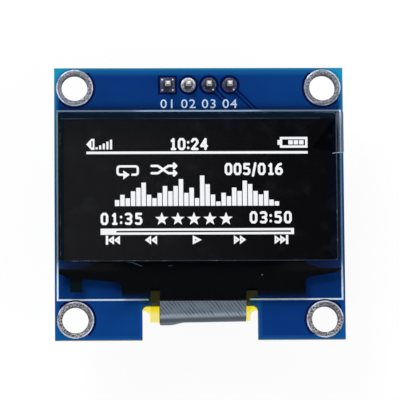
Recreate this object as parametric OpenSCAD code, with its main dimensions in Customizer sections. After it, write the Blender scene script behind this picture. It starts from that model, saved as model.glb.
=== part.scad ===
// Small OLED display module: a circuit board with a glass display panel on its front, a flexible lead that
// folds through a notch to the back, and a four-pin header.
// Millimetres. The origin is the centre of the four fixing holes, on the board's back face.
// Seen by someone reading the screen, +X is to the right, +Y up towards the header, +Z out of the screen.

/* [Circuit board] */
// Thickness of the circuit board
board_t = 1.2; // [1:0.1:1.6]
// Bare board at each side of the display panel
side_margin = 0.45; // [0.35:0.05:1.5]
// Bore of the fixing holes
hole_d = 3.2; // [2.6:0.1:3.4]
// Outside diameter of the tinned rings round the fixing holes
ring_d = 4.5; // [4.2:0.1:5]
// Distance from the rings to the board's sides
ring_side_gap = 0.25; // [0.15:0.05:0.8]
// Distance from the rings to the board's upper and lower edges
ring_end_gap = 0.2; // [0.15:0.05:0.6]
// Distance from the upper rings to the panel's printed outline
upper_gap = 0.7; // [0.3:0.1:3]
// Distance from the lower rings to the panel's printed outline
lower_gap = 0.3; // [0.3:0.1:3]
// Height of the solder crown on each ring
ring_crown = 0.07; // [0.03:0.01:0.15]
// Wall of the plating inside the plated holes
plating_t = 0.05; // [0.03:0.01:0.08]
// Thickness of the tinned copper lands
land_t = 0.05; // [0.03:0.01:0.07]
// Gap between each side of the lead and the notch's side
notch_side = 0.95; // [0.5:0.05:1.4]
// Distance from the glass's lower edge to the notch in the board
notch_gap = 0.55; // [0.2:0.05:0.9]
// Radius of the notch's inner corners
notch_r = 0.65; // [0.2:0.05:0.9]

/* [Print] */
// Width of the printed lines
print_w = 0.2; // [0.12:0.02:0.26]
// Thickness of the printed ink
print_t = 0.02; // [0.01:0.01:0.03]
// Bare margin kept round the fixing-hole rings
print_clear = 0.2; // [0.1:0.05:0.4]

/* [Header] */
// Pitch of the header pins
pin_pitch = 2.54; // [2:0.02:2.6]
// Distance from the board's upper edge to the pin row
header_inset = 2.1; // [2:0.05:2.4]
// Width of each square pin
pin_w = 0.64; // [0.5:0.02:0.66]
// Height of the pin tips above the board's back face
pin_up = 3; // [2.8:0.1:3.4]
// Length of the pins below the plastic base
pin_down = 6; // [3:0.5:9]
// Length of the chamfer at the pin tips
pin_chamfer = 0.3; // [0.1:0.05:0.5]
// Width and height of the plastic base
base_w = 2.5; // [2:0.1:2.54]
// Chamfer between neighbouring cells of the plastic base
base_chamfer = 0.45; // [0.2:0.05:0.6]
// Diameter of the plated pin holes
pin_hole_d = 1; // [0.96:0.02:1.1]
// Diameter, and width of the square one, of the header lands
header_land_d = 1.8; // [1.6:0.05:1.85]
// Height of the solder cones above the lands
cone_h = 1.15; // [0.8:0.05:1.3]

/* [Lit image] */
// Pitch of the screen's square pixels
pixel = 0.2125; // [0.19:0.0005:0.24]
// Gap from the polariser's left edge to the first pixel column
image_left = 3.15; // [2.6:0.05:3.6]
// Gap from the last pixel column to the polariser's right edge
image_right = 3.45; // [2.6:0.05:3.8]
// Gap from the polariser's upper edge to the first pixel row
image_top = 3; // [2.6:0.1:3.4]
// Gap from the last pixel row to the polariser's lower edge
image_bottom = 1.6; // [1.4:0.1:2.4]
// Spread of the light round each lit pixel
glow = 0.05; // [0.02:0.01:0.06]
// Thickness of the lit shapes
lit_t = 0.02; // [0.01:0.01:0.04]

/* [Display panel] */
// Thickness of each glass
glass_t = 0.55; // [0.4:0.05:0.7]
// Distance that the panel sits below the middle of its printed outline
panel_slip = 0.3; // [0:0.05:0.4]
// Thickness of the sealing bead between the glasses
seal_t = 0.1; // [0.08:0.01:0.15]
// Width of the sealing bead
seal_w = 0.8; // [0.5:0.1:1]
// Inset of the sealing bead from the edge of the back glass
seal_inset = 0.2; // [0.1:0.05:0.4]
// Gap between the sealing bead and the light-emitting layers
layer_gap = 0.2; // [0.1:0.05:0.4]
// Thickness of the light-emitting layers
layer_t = 0.04; // [0.02:0.01:0.06]
// Thickness of the polariser
polariser_t = 0.2; // [0.15:0.01:0.25]
// Gap from the glass's left edge to the polariser
polariser_left = 0.2; // [0.1:0.05:0.4]
// Gap from the polariser to the glass's right edge
polariser_right = 0.5; // [0.1:0.05:0.6]
// Gap from the glass's upper edge to the polariser
polariser_top = 0.05; // [0:0.05:0.3]
// Reach of the polariser past the back glass's lower edge
polariser_past = 0.25; // [0:0.05:0.4]
// Corner radius of the polariser
polariser_r = 0.4; // [0.2:0.1:0.8]
// Cut at the polariser's lower right corner
polariser_cut = 0.35; // [0.2:0.05:0.8]
// Thickness of the protective film
film_t = 0.06; // [0.04:0.01:0.1]
// Reach of the film's pull tab past the polariser
tab_reach = 0.85; // [0.5:0.05:0.9]
// Height of the film's pull tab
tab_h = 4.9; // [3:0.1:6]
// Thickness of the foam strips behind the panel
foam_t = 0.3; // [0.25:0.05:0.5]
// Distance from the foam strips to the back glass's sides
foam_side = 2.25; // [1:0.25:5]
// Height of each foam strip
foam_h = 5; // [3:0.5:7]
// Distance from the foam strips to the back glass's upper and lower edges
foam_inset = 1.5; // [0.5:0.25:2]

/* [Driver chip] */
// Length of the driver chip
driver_l = 10.4; // [8:0.2:11]
// Width of the driver chip
driver_w = 1.2; // [0.9:0.1:1.4]
// Thickness of the driver chip
driver_t = 0.3; // [0.2:0.02:0.4]
// Distance from the back glass to the driver chip
driver_gap = 0.9; // [0.7:0.1:1.1]
// Margin of the black resin round the driver chip
resin_margin = 0.6; // [0.3:0.05:0.65]
// Cover of resin behind the driver chip
resin_cover = 0.12; // [0.08:0.02:0.2]

/* [Tracks on the glass] */
// Thickness of the dark tracks on the glass
track_t = 0.02; // [0.01:0.01:0.03]
// Reach of the dense track field to the left of the glass's centre line
field_left = 9.6; // [8.5:0.1:10]
// Reach of the dense track field to the right of the glass's centre line
field_right = 12.8; // [11:0.1:13.5]
// Gap between the dense track field and the glass's lower edge
field_gap = 0.5; // [0.3:0.05:1]
// Radius of the hollow corners between the field and its two wings
field_r = 0.8; // [0.4:0.1:1]
// Distance from the glass's sides to where the wings reach up to the back glass
shoulder = 5.5; // [4:0.1:6]
// Run of the sloped upper edge of each wing
shoulder_run = 2.8; // [1.5:0.1:3.5]
// Drop of the wings' tips below the back glass
wing_drop = 1.1; // [0.6:0.05:1.2]
// Height of the left wing's tip
left_tip = 0.6; // [0.2:0.05:0.9]
// Height of the right wing's tip
right_tip = 0.15; // [0.1:0.05:0.4]
// Distance from the back glass to the left wing's lower edge, next to the field
left_wing = 2.7; // [2.2:0.1:3]
// Distance from the back glass to the right wing's lower edge, next to the field
right_wing = 2.1; // [1.8:0.1:3]
// Width of the test tab at the lower left of the tracks
test_tab_w = 1.5; // [1:0.05:2]
// Gap between the test tab and the glass's left edge
test_tab_left = 1.4; // [1.1:0.05:2]
// Gap between the test tab and the glass's lower edge
test_tab_gap = 1.05; // [0.6:0.05:1.4]

/* [Flexible lead] */
// Thickness of the flexible lead
flex_t = 0.1; // [0.08:0.01:0.14]
// Width of the lead where it folds
flex_w = 12.2; // [11:0.1:13.4]
// Overlap of the lead behind the glass
bond_h = 1.5; // [1:0.1:2]
// Gap between the driver chip's resin and the lead
bond_gap = 0.8; // [0.3:0.05:1.5]
// Extra width of the bonded end, at its right
bond_ear = 0.85; // [0.4:0.05:1]
// Distance from the notch's edge to the outermost point of the fold
fold_reach = 2.1; // [1.9:0.05:2.4]
// Margin between the contacts and the sides of the tail that lies on the back
tail_margin = 0.5; // [0.3:0.05:1]
// Length of the tail above the notch's edge
tail_l = 7.6; // [6:0.1:8.6]
// Radius where the tail widens
flare_r = 0.9; // [0.5:0.05:0.95]
// Thickness of the grey cover layer
cover_t = 0.03; // [0.02:0.01:0.05]
// Bare yellow margin left of the cover layer
cover_left = 1.15; // [0.6:0.05:1.4]
// Bare yellow margin right of the cover layer
cover_right = 0.55; // [0.4:0.05:1.4]
// Reach of the cover layer past the notch's edge on the back
cover_back = 0.7; // [0.3:0.1:2]
// Number of copper tracks in the lead
track_count = 30; // [28:1:32]
// Pitch of the contact fingers
finger_pitch = 0.5; // [0.45:0.01:0.55]
// Width of each contact finger
finger_w = 0.28; // [0.2:0.01:0.3]
// Length of each contact finger
finger_l = 1.4; // [1:0.1:2]
// Bare length of the board lands past the fingers
land_reach = 1.1; // [0.8:0.1:1.5]

/* [Small parts on the back] */
// Distance from the lead's lands to the middle of the first row of parts
row_gap = 2.6; // [2.3:0.1:3]
// Pitch of the grid that the small parts are placed on
grid = 1.27; // [1.22:0.01:1.3]
// Length of the chip capacitors and resistors
chip_l = 1.6; // [1.4:0.05:1.7]
// Width of the chip capacitors and resistors
chip_w = 0.8; // [0.6:0.05:0.9]
// Height of the capacitors
capacitor_h = 0.8; // [0.5:0.05:0.9]
// Height of the resistors
resistor_h = 0.45; // [0.35:0.05:0.6]
// Length of each metal end of a chip part
chip_end = 0.35; // [0.2:0.05:0.45]
// Height by which the metal ends stand proud of the chip's body
chip_step = 0.02; // [0.01:0.01:0.04]
// Length of the lands under chip parts
chip_land_l = 0.9; // [0.85:0.05:0.95]
// Reach of those lands past the chip's ends
chip_land_reach = 0.5; // [0.4:0.05:0.55]
// Length of the regulator's body
regulator_l = 2.9; // [2.6:0.1:3.1]
// Width of the regulator's body
regulator_w = 1.3; // [1.2:0.05:1.5]
// Height of the regulator
regulator_h = 1.1; // [0.9:0.05:1.2]
// Pitch of the regulator's legs
leg_pitch = 0.95; // [0.8:0.05:1]
// Width of the regulator's legs
leg_w = 0.4; // [0.3:0.02:0.5]
// Length of the diode's body
diode_l = 2.7; // [2.4:0.1:2.9]
// Width of the diode's body
diode_w = 1.6; // [1.4:0.05:1.8]
// Height of the diode
diode_h = 1.05; // [0.9:0.05:1.2]
// Width of the diode's legs
diode_leg_w = 0.6; // [0.5:0.05:0.9]
// Reach of the lands past the legs' ends
leg_land_reach = 0.3; // [0.2:0.05:0.4]
// Thickness of the legs' metal
leg_t = 0.12; // [0.08:0.01:0.15]
// Reach of each leg past the body
leg_reach = 0.6; // [0.5:0.05:0.7]
// Run of each leg from the body to its first bend
leg_run = 0.16; // [0.1:0.02:0.2]
// Run of the sloped middle of each leg
leg_slope = 0.14; // [0.1:0.02:0.2]
// Gap under the bodies of the parts that stand on legs
standoff = 0.08; // [0.04:0.01:0.12]
// Taper of the moulded bodies' sides
mould_taper = 0.09; // [0.05:0.01:0.12]
// Gap between the small parts' lands and the printed outline round them
outline_gap = 0.125; // [0.1:0.005:0.15]

/* [Clearances] */
// Gap between the lead's grey cover and the glass
cover_gap = 0.05; // [0.02:0.01:0.1]
// Bare margin between the dark tracks and the edges of both glasses
track_gap = 0.05; // [0.02:0.01:0.1]
// Distance from the notch's edge to the start of the tail's full width
tail_gap = 0.05; // [0.02:0.01:0.1]
// Bare margin of each header land and pin tip round the solder cone
cone_gap = 0.04; // [0.02:0.01:0.06]
// Margin of the lands round the parts that are soldered on them
land_margin = 0.1; // [0.06:0.01:0.14]

/* [Hidden] */
$fn = 96;
PIN_COUNT = 4;
CHIP_COUNT = 8;

// Overshoot of a cut past the faces it goes through
through = 1;

// Heights of the stack in front of the board
back_glass_z = board_t + foam_t;
seal_z = back_glass_z + glass_t;
front_glass_z = seal_z + seal_t;
polariser_z = front_glass_z + glass_t;
film_z = polariser_z + polariser_t;
lit_z = film_z - lit_t;

// The screen, the polariser round it, the glasses that carry it and the board behind them, each with its
// margins round the one before
COLUMNS = 128;
ROWS = 64;
polariser_w = image_left + COLUMNS * pixel + image_right;
polariser_h = image_top + ROWS * pixel + image_bottom;
glass_w = polariser_left + polariser_w + polariser_right;
back_glass_h = polariser_top + polariser_h - polariser_past;
ledge_h = driver_gap + driver_w + resin_margin + bond_gap + bond_h;
glass_h = back_glass_h + ledge_h;
board_w = glass_w + 2 * side_margin;
top_strip = ring_end_gap + ring_d + upper_gap;
bottom_strip = ring_end_gap + ring_d + lower_gap;
board_h = top_strip + glass_h + bottom_strip;

// Places on the board, seen from the front
hole_x = (board_w - ring_d) / 2 - ring_side_gap;
hole_y = (board_h - ring_d) / 2 - ring_end_gap;
header_y = board_h / 2 - header_inset;
outline_y = (bottom_strip - top_strip) / 2;
glass_top = outline_y + glass_h / 2 - panel_slip;
glass_bottom = glass_top - glass_h;
glass_left = -glass_w / 2;
glass_right = glass_w / 2;
ledge_top = glass_top - back_glass_h;
polariser_x = glass_left + polariser_left;
polariser_y = glass_top - polariser_top;
notch_w = flex_w + 2 * notch_side;
notch_y = glass_bottom - notch_gap;

// The flexible lead: its front face touches the tracks on the glass, its tail lies on the board's lands
flex_front_z = front_glass_z - track_t;
fold_r = (flex_front_z + land_t + flex_t) / 2;
fold_z = flex_front_z - fold_r;
fold_y = notch_y - fold_reach + fold_r;
tail_z = -land_t - flex_t;
tail_bottom = notch_y - tail_gap;
tail_top = notch_y + tail_l;
cover_w = flex_w - cover_left - cover_right;
cover_x = (cover_left - cover_right) / 2;
cover_end = notch_y + cover_back;
tail_w = track_count * finger_pitch + 2 * tail_margin;
rows_y = tail_top + land_reach + row_gap;

// Distance from the back glass's edge to the light-emitting layers
layer_margin = seal_inset + seal_w + layer_gap;

// Heights in pixel rows of the 31 bars of the lit spectrum
BAR_ROWS = [3, 6, 4, 8, 10, 13, 6, 4, 7, 11, 8, 11, 15, 7, 10, 4,
            17, 12, 6, 2, 7, 5, 10, 8, 14, 12, 8, 6, 8, 3, 2];

// Places of the small parts on the back, in grid steps from the middle of their first row, and their turn
CAPACITOR_SPOTS = [[-6, 0, 90], [-4, 0, 90], [-2, 0, 90], [0, 0, 90], [2, 0, 90], [4, 0, 90],
                   [-10, 6, 0], [-10, 8, 0]];
RESISTOR_SPOTS = [[6, 0, 90], [8, 0, 90], [-1, 3, 0], [3, 3, 0], [-1, 5, 0], [3, 5, 0],
                  [10, 6, 0], [10, 4, 0]];
EMPTY_SPOT = [10, 8, 0];
REGULATOR_SPOT = [-5, 6, 0];
DIODE_SPOT = [3, 8, 0];

function arc(x, y, rx, ry, from, to, steps = 6) =
    [for (i = [0:steps]) let (a = from + (to - from) * i / steps) [x + rx * cos(a), y + ry * sin(a)]];

// A square frame, sized inside and centred
module frame_2d(inner, line) {
    difference() {
        square([inner[0] + 2 * line, inner[1] + 2 * line], center = true);
        square(inner, center = true);
    }
}

// A rectangle with rounded corners, its lower left corner at the origin; cut is the chamfer that its lower
// right corner has instead of a radius
module rounded_2d(w, h, r, cut = 0) {
    lower_right = cut > 0 ? [[w - cut, 0], [w, cut]] : arc(w - r, r, r, r, 270, 360);
    polygon(concat(arc(r, r, r, r, 180, 270), lower_right,
        arc(w - r, h - r, r, r, 0, 90), arc(r, h - r, r, r, 90, 180)));
}

// A profile drawn in Y and Z, extruded along X and centred on x
module along_x(width, x = 0) {
    translate([x, 0, 0]) rotate([90, 0, 90]) linear_extrude(width, center = true) children();
}

// Children stand on the board's back face with their own +Z away from it
module on_back(spot) {
    translate([spot[0] * grid, rows_y + spot[1] * grid, 0]) mirror([0, 0, 1]) rotate(spot[2]) children();
}

module at_holes() {
    for (x = [-hole_x, hole_x], y = [-hole_y, hole_y]) translate([x, y]) children();
}

// ---- Circuit board ----

module notch_2d() {
    low = -board_h / 2 - through;
    translate([-notch_w / 2, low]) square([notch_w, notch_y - notch_r - low]);
    translate([-notch_w / 2 + notch_r, low]) square([notch_w - 2 * notch_r, notch_y - low]);
    for (side = [-1, 1]) translate([side * (notch_w / 2 - notch_r), notch_y - notch_r]) circle(notch_r);
}

module pcb() {
    color([0.03, 0.2, 0.45]) linear_extrude(board_t) difference() {
        square([board_w, board_h], center = true);
        notch_2d();
        at_holes() circle(d = hole_d + 2 * plating_t);
        for (i = [1:PIN_COUNT]) translate([pin_x(i), header_y]) circle(d = pin_hole_d + 2 * plating_t);
    }
}

// A tinned ring on both faces, joined by the plating of the hole; the solder on each face is crowned
module hole_plating(i) {
    mid = (ring_d + hole_d) / 4;
    half = (ring_d - hole_d) / 4;
    color([0.75, 0.76, 0.78])
    translate([(i % 2 == 1 ? -1 : 1) * hole_x, (i <= 2 ? 1 : -1) * hole_y, 0])
    rotate_extrude() polygon(concat(
        [[hole_d / 2 + plating_t, board_t], [ring_d / 2, board_t]],
        arc(mid, board_t + land_t, half, ring_crown, 0, 180),
        arc(mid, -land_t, half, ring_crown, 180, 360),
        [[ring_d / 2, 0], [hole_d / 2 + plating_t, 0]]));
}

// ---- Header ----

function pin_x(i) = (i - (PIN_COUNT + 1) / 2) * pin_pitch;

module header_land_2d(i) {
    if (i == 1) square(header_land_d, center = true);
    else circle(d = header_land_d);
}

module header_pads() {
    color([0.75, 0.76, 0.78]) for (i = [1:PIN_COUNT]) translate([pin_x(i), header_y, 0]) difference() {
        union() {
            translate([0, 0, -land_t]) linear_extrude(land_t) header_land_2d(i);
            translate([0, 0, board_t]) linear_extrude(land_t) header_land_2d(i);
            translate([0, 0, -land_t]) cylinder(d = pin_hole_d + 2 * plating_t, h = board_t + 2 * land_t);
        }
        translate([0, 0, -through]) cylinder(d = pin_hole_d, h = board_t + 2 * through);
    }
}

module base_cell_2d() {
    x = pin_pitch / 2;
    y = base_w / 2;
    cut = base_chamfer;
    polygon([[-x, -y + cut], [-x + cut, -y], [x - cut, -y], [x, -y + cut],
             [x, y - cut], [x - cut, y], [-x + cut, y], [-x, y - cut]]);
}

module header_base() {
    color([0.07, 0.07, 0.08]) translate([0, header_y, -land_t - base_w]) linear_extrude(base_w)
    for (i = [1:PIN_COUNT]) translate([pin_x(i), 0]) difference() {
        base_cell_2d();
        square(pin_w, center = true);
    }
}

module pin_profile_2d() {
    half = pin_w / 2;
    tip = pin_w / 4;
    low = -land_t - base_w - pin_down;
    polygon([[-half, low + pin_chamfer], [-tip, low], [tip, low], [half, low + pin_chamfer],
             [half, pin_up - pin_chamfer], [tip, pin_up], [-tip, pin_up], [-half, pin_up - pin_chamfer]]);
}

module pin(i) {
    color([0.8, 0.8, 0.78]) translate([pin_x(i), header_y, 0]) intersection() {
        rotate([90, 0, 0]) linear_extrude(pin_w, center = true) pin_profile_2d();
        along_x(pin_w) pin_profile_2d();
    }
}

// Solder fills the plated hole round the pin and climbs it in a hollow-sided cone
module solder_joint(i) {
    land_r = header_land_d / 2 - cone_gap;
    foot = land_r * (i == 1 ? sqrt(2) : 1);
    neck = pin_w / sqrt(2) + cone_gap;
    low = board_t + land_t;
    color([0.82, 0.83, 0.85]) translate([pin_x(i), header_y, 0]) difference() {
        intersection() {
            rotate_extrude() polygon(concat(
                [[0, -land_t], [pin_hole_d / 2, -land_t], [pin_hole_d / 2, low], [foot, low]],
                arc(foot, low + cone_h, foot - neck, cone_h - cone_gap, 270, 180),
                [[0, low + cone_h]]));
            translate([0, 0, -through]) linear_extrude(board_t + cone_h + 2 * through)
                square(2 * land_r, center = true);
        }
        translate([0, 0, -through]) linear_extrude(pin_up + 2 * through) square(pin_w, center = true);
    }
}

// ---- Print on the front ----

module front_print() {
    color([0.93, 0.95, 0.96]) translate([0, 0, board_t]) linear_extrude(print_t) difference() {
        translate([0, outline_y]) frame_2d([glass_w, glass_h], print_w);
        at_holes() circle(d = ring_d + 2 * print_clear);
    }
}

// ---- Display panel ----

module foam_strip(i) {
    centre = (glass_top + ledge_top) / 2;
    reach = (back_glass_h - foam_h) / 2 - foam_inset;
    y = centre + (i == 1 ? 1 : -1) * reach - foam_h / 2;
    width = glass_w - 2 * foam_side;
    color([0.9, 0.9, 0.88]) translate([-width / 2, y, board_t]) cube([width, foam_h, foam_t]);
}

module back_glass() {
    color([0.25, 0.32, 0.36, 0.8]) translate([glass_left, ledge_top, back_glass_z])
        cube([glass_w, back_glass_h, glass_t]);
}

module glass_seal() {
    outer = [glass_w - 2 * seal_inset, back_glass_h - 2 * seal_inset];
    color([0.5, 0.5, 0.42]) translate([0, (glass_top + ledge_top) / 2, seal_z]) linear_extrude(seal_t)
        frame_2d(outer - [2 * seal_w, 2 * seal_w], seal_w);
}

module emitting_layer() {
    size = [glass_w - 2 * layer_margin, back_glass_h - 2 * layer_margin];
    color([0.1, 0.1, 0.12]) translate([0, (glass_top + ledge_top) / 2, front_glass_z - layer_t])
        linear_extrude(layer_t) square(size, center = true);
}

module front_glass() {
    color([0.45, 0.55, 0.6, 0.35]) translate([glass_left, glass_bottom, front_glass_z])
        cube([glass_w, glass_h, glass_t]);
}

module polariser_2d() {
    translate([polariser_x, polariser_y - polariser_h])
        rounded_2d(polariser_w, polariser_h, polariser_r, polariser_cut);
}

// The lit shapes are let into the polariser's front, so that the film lies flat over them
module polariser() {
    color([0.06, 0.06, 0.07]) union() {
        translate([0, 0, polariser_z]) linear_extrude(polariser_t - lit_t) polariser_2d();
        translate([0, 0, lit_z]) linear_extrude(lit_t) difference() {
            polariser_2d();
            lit_2d();
        }
    }
}

module protective_film() {
    root = polariser_w / 2;
    color([0.8, 0.85, 0.9, 0.2]) translate([0, 0, film_z]) linear_extrude(film_t) union() {
        polariser_2d();
        translate([polariser_x + root, polariser_y - tab_h]) square([polariser_w - root + tab_reach, tab_h]);
    }
}

// A wing of tracks that narrows from the field's edge to the glass's side, drawn for the right side and down
// from the back glass; low is the depth of its lower edge next to the field
module track_wing(root, tip, low) {
    side = glass_right - track_gap;
    top = glass_right - shoulder;
    run = low - wing_drop - tip;
    polygon(concat(
        [[0, -low], [0, -track_gap], [top, -track_gap], [top + shoulder_run, -wing_drop], [side, -wing_drop],
         [side, -wing_drop - tip], [side - run, -wing_drop - tip - run / 2]],
        arc(root + field_r, -low - field_r, field_r, field_r, 90, 180)));
}

// The dark tracks on the front glass's back face, drawn from the back glass's lower edge downwards. They fan
// out from the driver chip to both sides and down to the lead, whose two bonded corners stay bare
module glass_tracks_2d() {
    tab_low = -ledge_h + test_tab_gap;
    difference() {
        union() {
            translate([-field_left, -ledge_h + field_gap])
                square([field_left + field_right, ledge_h - field_gap - track_gap]);
            track_wing(field_right, right_tip, right_wing);
            mirror([1, 0]) track_wing(field_left, left_tip, left_wing);
            translate([glass_left + test_tab_left, tab_low])
                square([test_tab_w, -wing_drop - left_tip - tab_low]);
        }
        translate([-flex_w / 2, -ledge_h]) square([flex_w + bond_ear, bond_h]);
    }
    translate([-flex_w / 2 + cover_left, -ledge_h + track_gap]) square([cover_w, bond_h]);
}

module glass_tracks() {
    color([0.02, 0.02, 0.03]) translate([0, ledge_top, front_glass_z - track_t]) linear_extrude(track_t)
        glass_tracks_2d();
}

module driver_at() {
    translate([0, ledge_top - driver_gap - driver_w / 2, front_glass_z - track_t]) children();
}

module driver_chip() {
    color([0.2, 0.2, 0.22]) driver_at() translate([0, 0, -driver_t]) linear_extrude(driver_t)
        square([driver_l, driver_w], center = true);
}

module chip_resin() {
    size = [driver_l + 2 * resin_margin, driver_w + 2 * resin_margin];
    color([0.04, 0.04, 0.04]) driver_at() difference() {
        translate([0, 0, -driver_t - resin_cover]) linear_extrude(driver_t + resin_cover)
            square(size, center = true);
        translate([0, 0, -driver_t]) linear_extrude(driver_t + through)
            square([driver_l, driver_w], center = true);
    }
}

// ---- Lit image, drawn on the screen's pixel grid ----

module on_pixels() {
    translate([polariser_x + image_left, polariser_y - image_top]) scale(pixel) children();
}

module lit_rect(col, row, w, h) {
    spread = glow / pixel;
    translate([col - spread, -row - h - spread]) square([w + 2 * spread, h + 2 * spread]);
}

// A triangle that points right, with a small dark hollow in its middle
module lit_triangle(col, row, w, h) {
    hollow = w * 0.12;
    difference() {
        polygon([[col, -row], [col, -row - h], [col + w, -row - h / 2]]);
        translate([col + w * 0.33, -row - h / 2]) square([hollow, h * 0.16], center = true);
    }
}

module mirror_triangle(col, row, w, h) {
    mirror([1, 0]) lit_triangle(-col, row, w, h);
}

module speaker_sign() {
    difference() {
        polygon([[0.4, -4.2], [3.3, -1], [5.1, -1], [5.1, -7.4], [3.3, -7.4]]);
        translate([3.3, -5.9]) square([0.8, 3.6]);
    }
}

module battery_sign() {
    translate([119.45, -3.3]) frame_2d([13.1, 3.5], 1.4);
    lit_rect(110.4, 2.2, 1.2, 2.3);
    for (i = [0:2]) lit_rect(116.6 + 3.1 * i, 2.3, 2.1, 2);
}

module status_line() {
    speaker_sign();
    for (i = [0:4]) lit_rect(5.9 + 2.07 * i, 6.1 - 1.08 * i, 0.8, 0.8 + 1.08 * i);
    battery_sign();
    lit_rect(0.7, 8.6, 126.5, 1);
}

// A closed loop with an arrowhead on its lower side and a gap in front of the arrowhead
module repeat_sign() {
    difference() {
        translate([17.6, -22.4]) rounded_2d(12.9, 6.1, 1.9);
        translate([18.9, -21.1]) rounded_2d(10.3, 3.5, 0.9);
        translate([24.6, -23]) square([1.6, 2]);
    }
    polygon([[21.5, -19.3], [21.5, -24.5], [25.2, -21.8]]);
}

module spectrum() {
    for (i = [0:len(BAR_ROWS) - 1]) lit_rect(16.85 + 3.05 * i, 39.6 - BAR_ROWS[i], 2.1, BAR_ROWS[i]);
}

module star(radius) {
    polygon([for (i = [0:9]) let (r = radius * (i % 2 == 0 ? 1 : 0.42)) [r * sin(36 * i), r * cos(36 * i)]]);
}

module progress_bar() {
    difference() {
        lit_rect(8.6, 53, 110.2, 3.1);
        translate([17.4, -55]) square([100, 0.9]);
    }
}

module transport_signs() {
    row = 56.8;
    h = 5.2;
    lit_rect(11.55, row + 0.2, 0.9, h - 0.4);
    for (col = [16, 19.4, 37.2, 40.6]) mirror_triangle(col, row, 3.5, h);
    for (col = [84.6, 88, 107.9, 111.1]) lit_triangle(col, row, 3.5, h);
    lit_triangle(61, row, 5.2, h);
    lit_rect(114.6, row + 0.2, 0.9, h - 0.4);
}

module lit_2d() {
    on_pixels() {
        status_line();
        repeat_sign();
        spectrum();
        for (i = [0:4]) translate([43.4 + 9.2 * i, -47.4]) star(4);
        progress_bar();
        transport_signs();
    }
}

module lit_graphics() {
    color([0.97, 0.98, 1]) translate([0, 0, lit_z]) linear_extrude(lit_t) lit_2d();
}

// ---- Flexible lead ----

// The section of a layer that runs from the glass round the fold to the back. Its thickness is given
// inwards and outwards from the lead's outer face, and its two ends by their places along Y
module fold_profile_2d(inner, outer, front_end, back_end) {
    translate([fold_y, fold_z]) difference() {
        circle(fold_r + outer);
        circle(fold_r - inner);
        translate([0, -fold_r - through]) square([fold_r + through, 2 * (fold_r + through)]);
    }
    translate([fold_y, flex_front_z - inner]) square([front_end - fold_y, inner + outer]);
    translate([fold_y, tail_z - outer]) square([back_end - fold_y, inner + outer]);
}

// The tail widens past the notch's sides in two hollow curves, and then lies on the board's back
module tail_2d() {
    translate([-tail_w / 2, tail_bottom]) square([tail_w, tail_top - tail_bottom]);
    for (side = [0, 1]) mirror([side, 0]) translate([flex_w / 2, tail_bottom - flare_r]) difference() {
        translate([-flare_r, 0]) square([2 * flare_r, flare_r + tail_gap]);
        translate([flare_r, 0]) circle(flare_r);
    }
}

module flex_lead() {
    bond_top = glass_bottom + bond_h;
    color([0.95, 0.75, 0.1]) union() {
        along_x(flex_w) fold_profile_2d(flex_t, 0, bond_top, notch_y);
        translate([-flex_w / 2, notch_y, flex_front_z - flex_t])
            cube([flex_w + bond_ear, bond_top - notch_y, flex_t]);
        translate([0, 0, tail_z]) linear_extrude(flex_t) tail_2d();
    }
}

module flex_cover() {
    color([0.45, 0.5, 0.55]) along_x(cover_w, cover_x)
        fold_profile_2d(0, cover_t, glass_bottom - cover_gap, cover_end);
}

function finger_x(i) = (i - (track_count - 1) / 2) * finger_pitch;

module flex_fingers() {
    color([0.9, 0.7, 0.3]) for (i = [0:track_count - 1])
        translate([finger_x(i) - finger_w / 2, tail_top - finger_l, tail_z - track_t])
            cube([finger_w, finger_l, track_t]);
}

module lead_lands() {
    color([0.75, 0.76, 0.78]) for (i = [0:track_count - 1])
        translate([finger_x(i) - finger_w / 2, tail_top - finger_l, -land_t])
            cube([finger_w, finger_l + land_reach, land_t]);
}

module lead_solder() {
    rise = flex_t + track_t;
    color([0.82, 0.83, 0.85]) for (i = [0:track_count - 1]) along_x(finger_w, finger_x(i))
        polygon(concat([[tail_top, -land_t]],
            arc(tail_top, -land_t, land_reach * 0.9, rise, 0, -90)));
}

// ---- Small parts on the back ----

module chip_part(height) {
    body = chip_l - 2 * chip_end;
    translate([-body / 2, -chip_w / 2 + chip_step, land_t + chip_step])
        cube([body, chip_w - 2 * chip_step, height - 2 * chip_step]);
    for (side = [-1, 1]) translate([side * (chip_l - chip_end) / 2 - chip_end / 2, -chip_w / 2, land_t])
        cube([chip_end, chip_w, height]);
}

module capacitor(i) {
    color([0.72, 0.6, 0.45]) on_back(CAPACITOR_SPOTS[i - 1]) chip_part(capacitor_h);
}

module resistor(i) {
    color([0.08, 0.08, 0.08]) on_back(RESISTOR_SPOTS[i - 1]) chip_part(resistor_h);
}

module chip_lands() {
    for (side = [-1, 1])
        translate([side * (chip_l / 2 + chip_land_reach - chip_land_l / 2), 0, 0]) linear_extrude(land_t)
            square([chip_land_l, chip_w + land_margin], center = true);
}

module chip_solder(height) {
    reach = chip_land_reach * 0.85;
    climb = height * 0.65;
    for (side = [0, 180]) rotate(side) translate([chip_l / 2, 0, land_t]) rotate([90, 0, 0])
        linear_extrude(chip_w, center = true)
            polygon(concat([[0, 0]], [[reach, 0]], arc(reach, climb, reach, climb * 0.95, 270, 180)));
}

// A moulded body with a straight belt at the legs and tapered faces above and below it
module moulded_body(length, width, height, belt_z) {
    intersection() {
        rotate([90, 0, 0]) linear_extrude(width, center = true) moulded_profile_2d(length, height, belt_z);
        along_x(length) moulded_profile_2d(width, height, belt_z);
    }
}

module moulded_profile_2d(size, height, belt_z) {
    belt = size / 2;
    face = belt - mould_taper;
    low = land_t + standoff;
    high = land_t + height;
    polygon([[-face, low], [face, low], [belt, belt_z - leg_t], [belt, belt_z],
             [face, high], [-face, high], [-belt, belt_z], [-belt, belt_z - leg_t]]);
}

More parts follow.
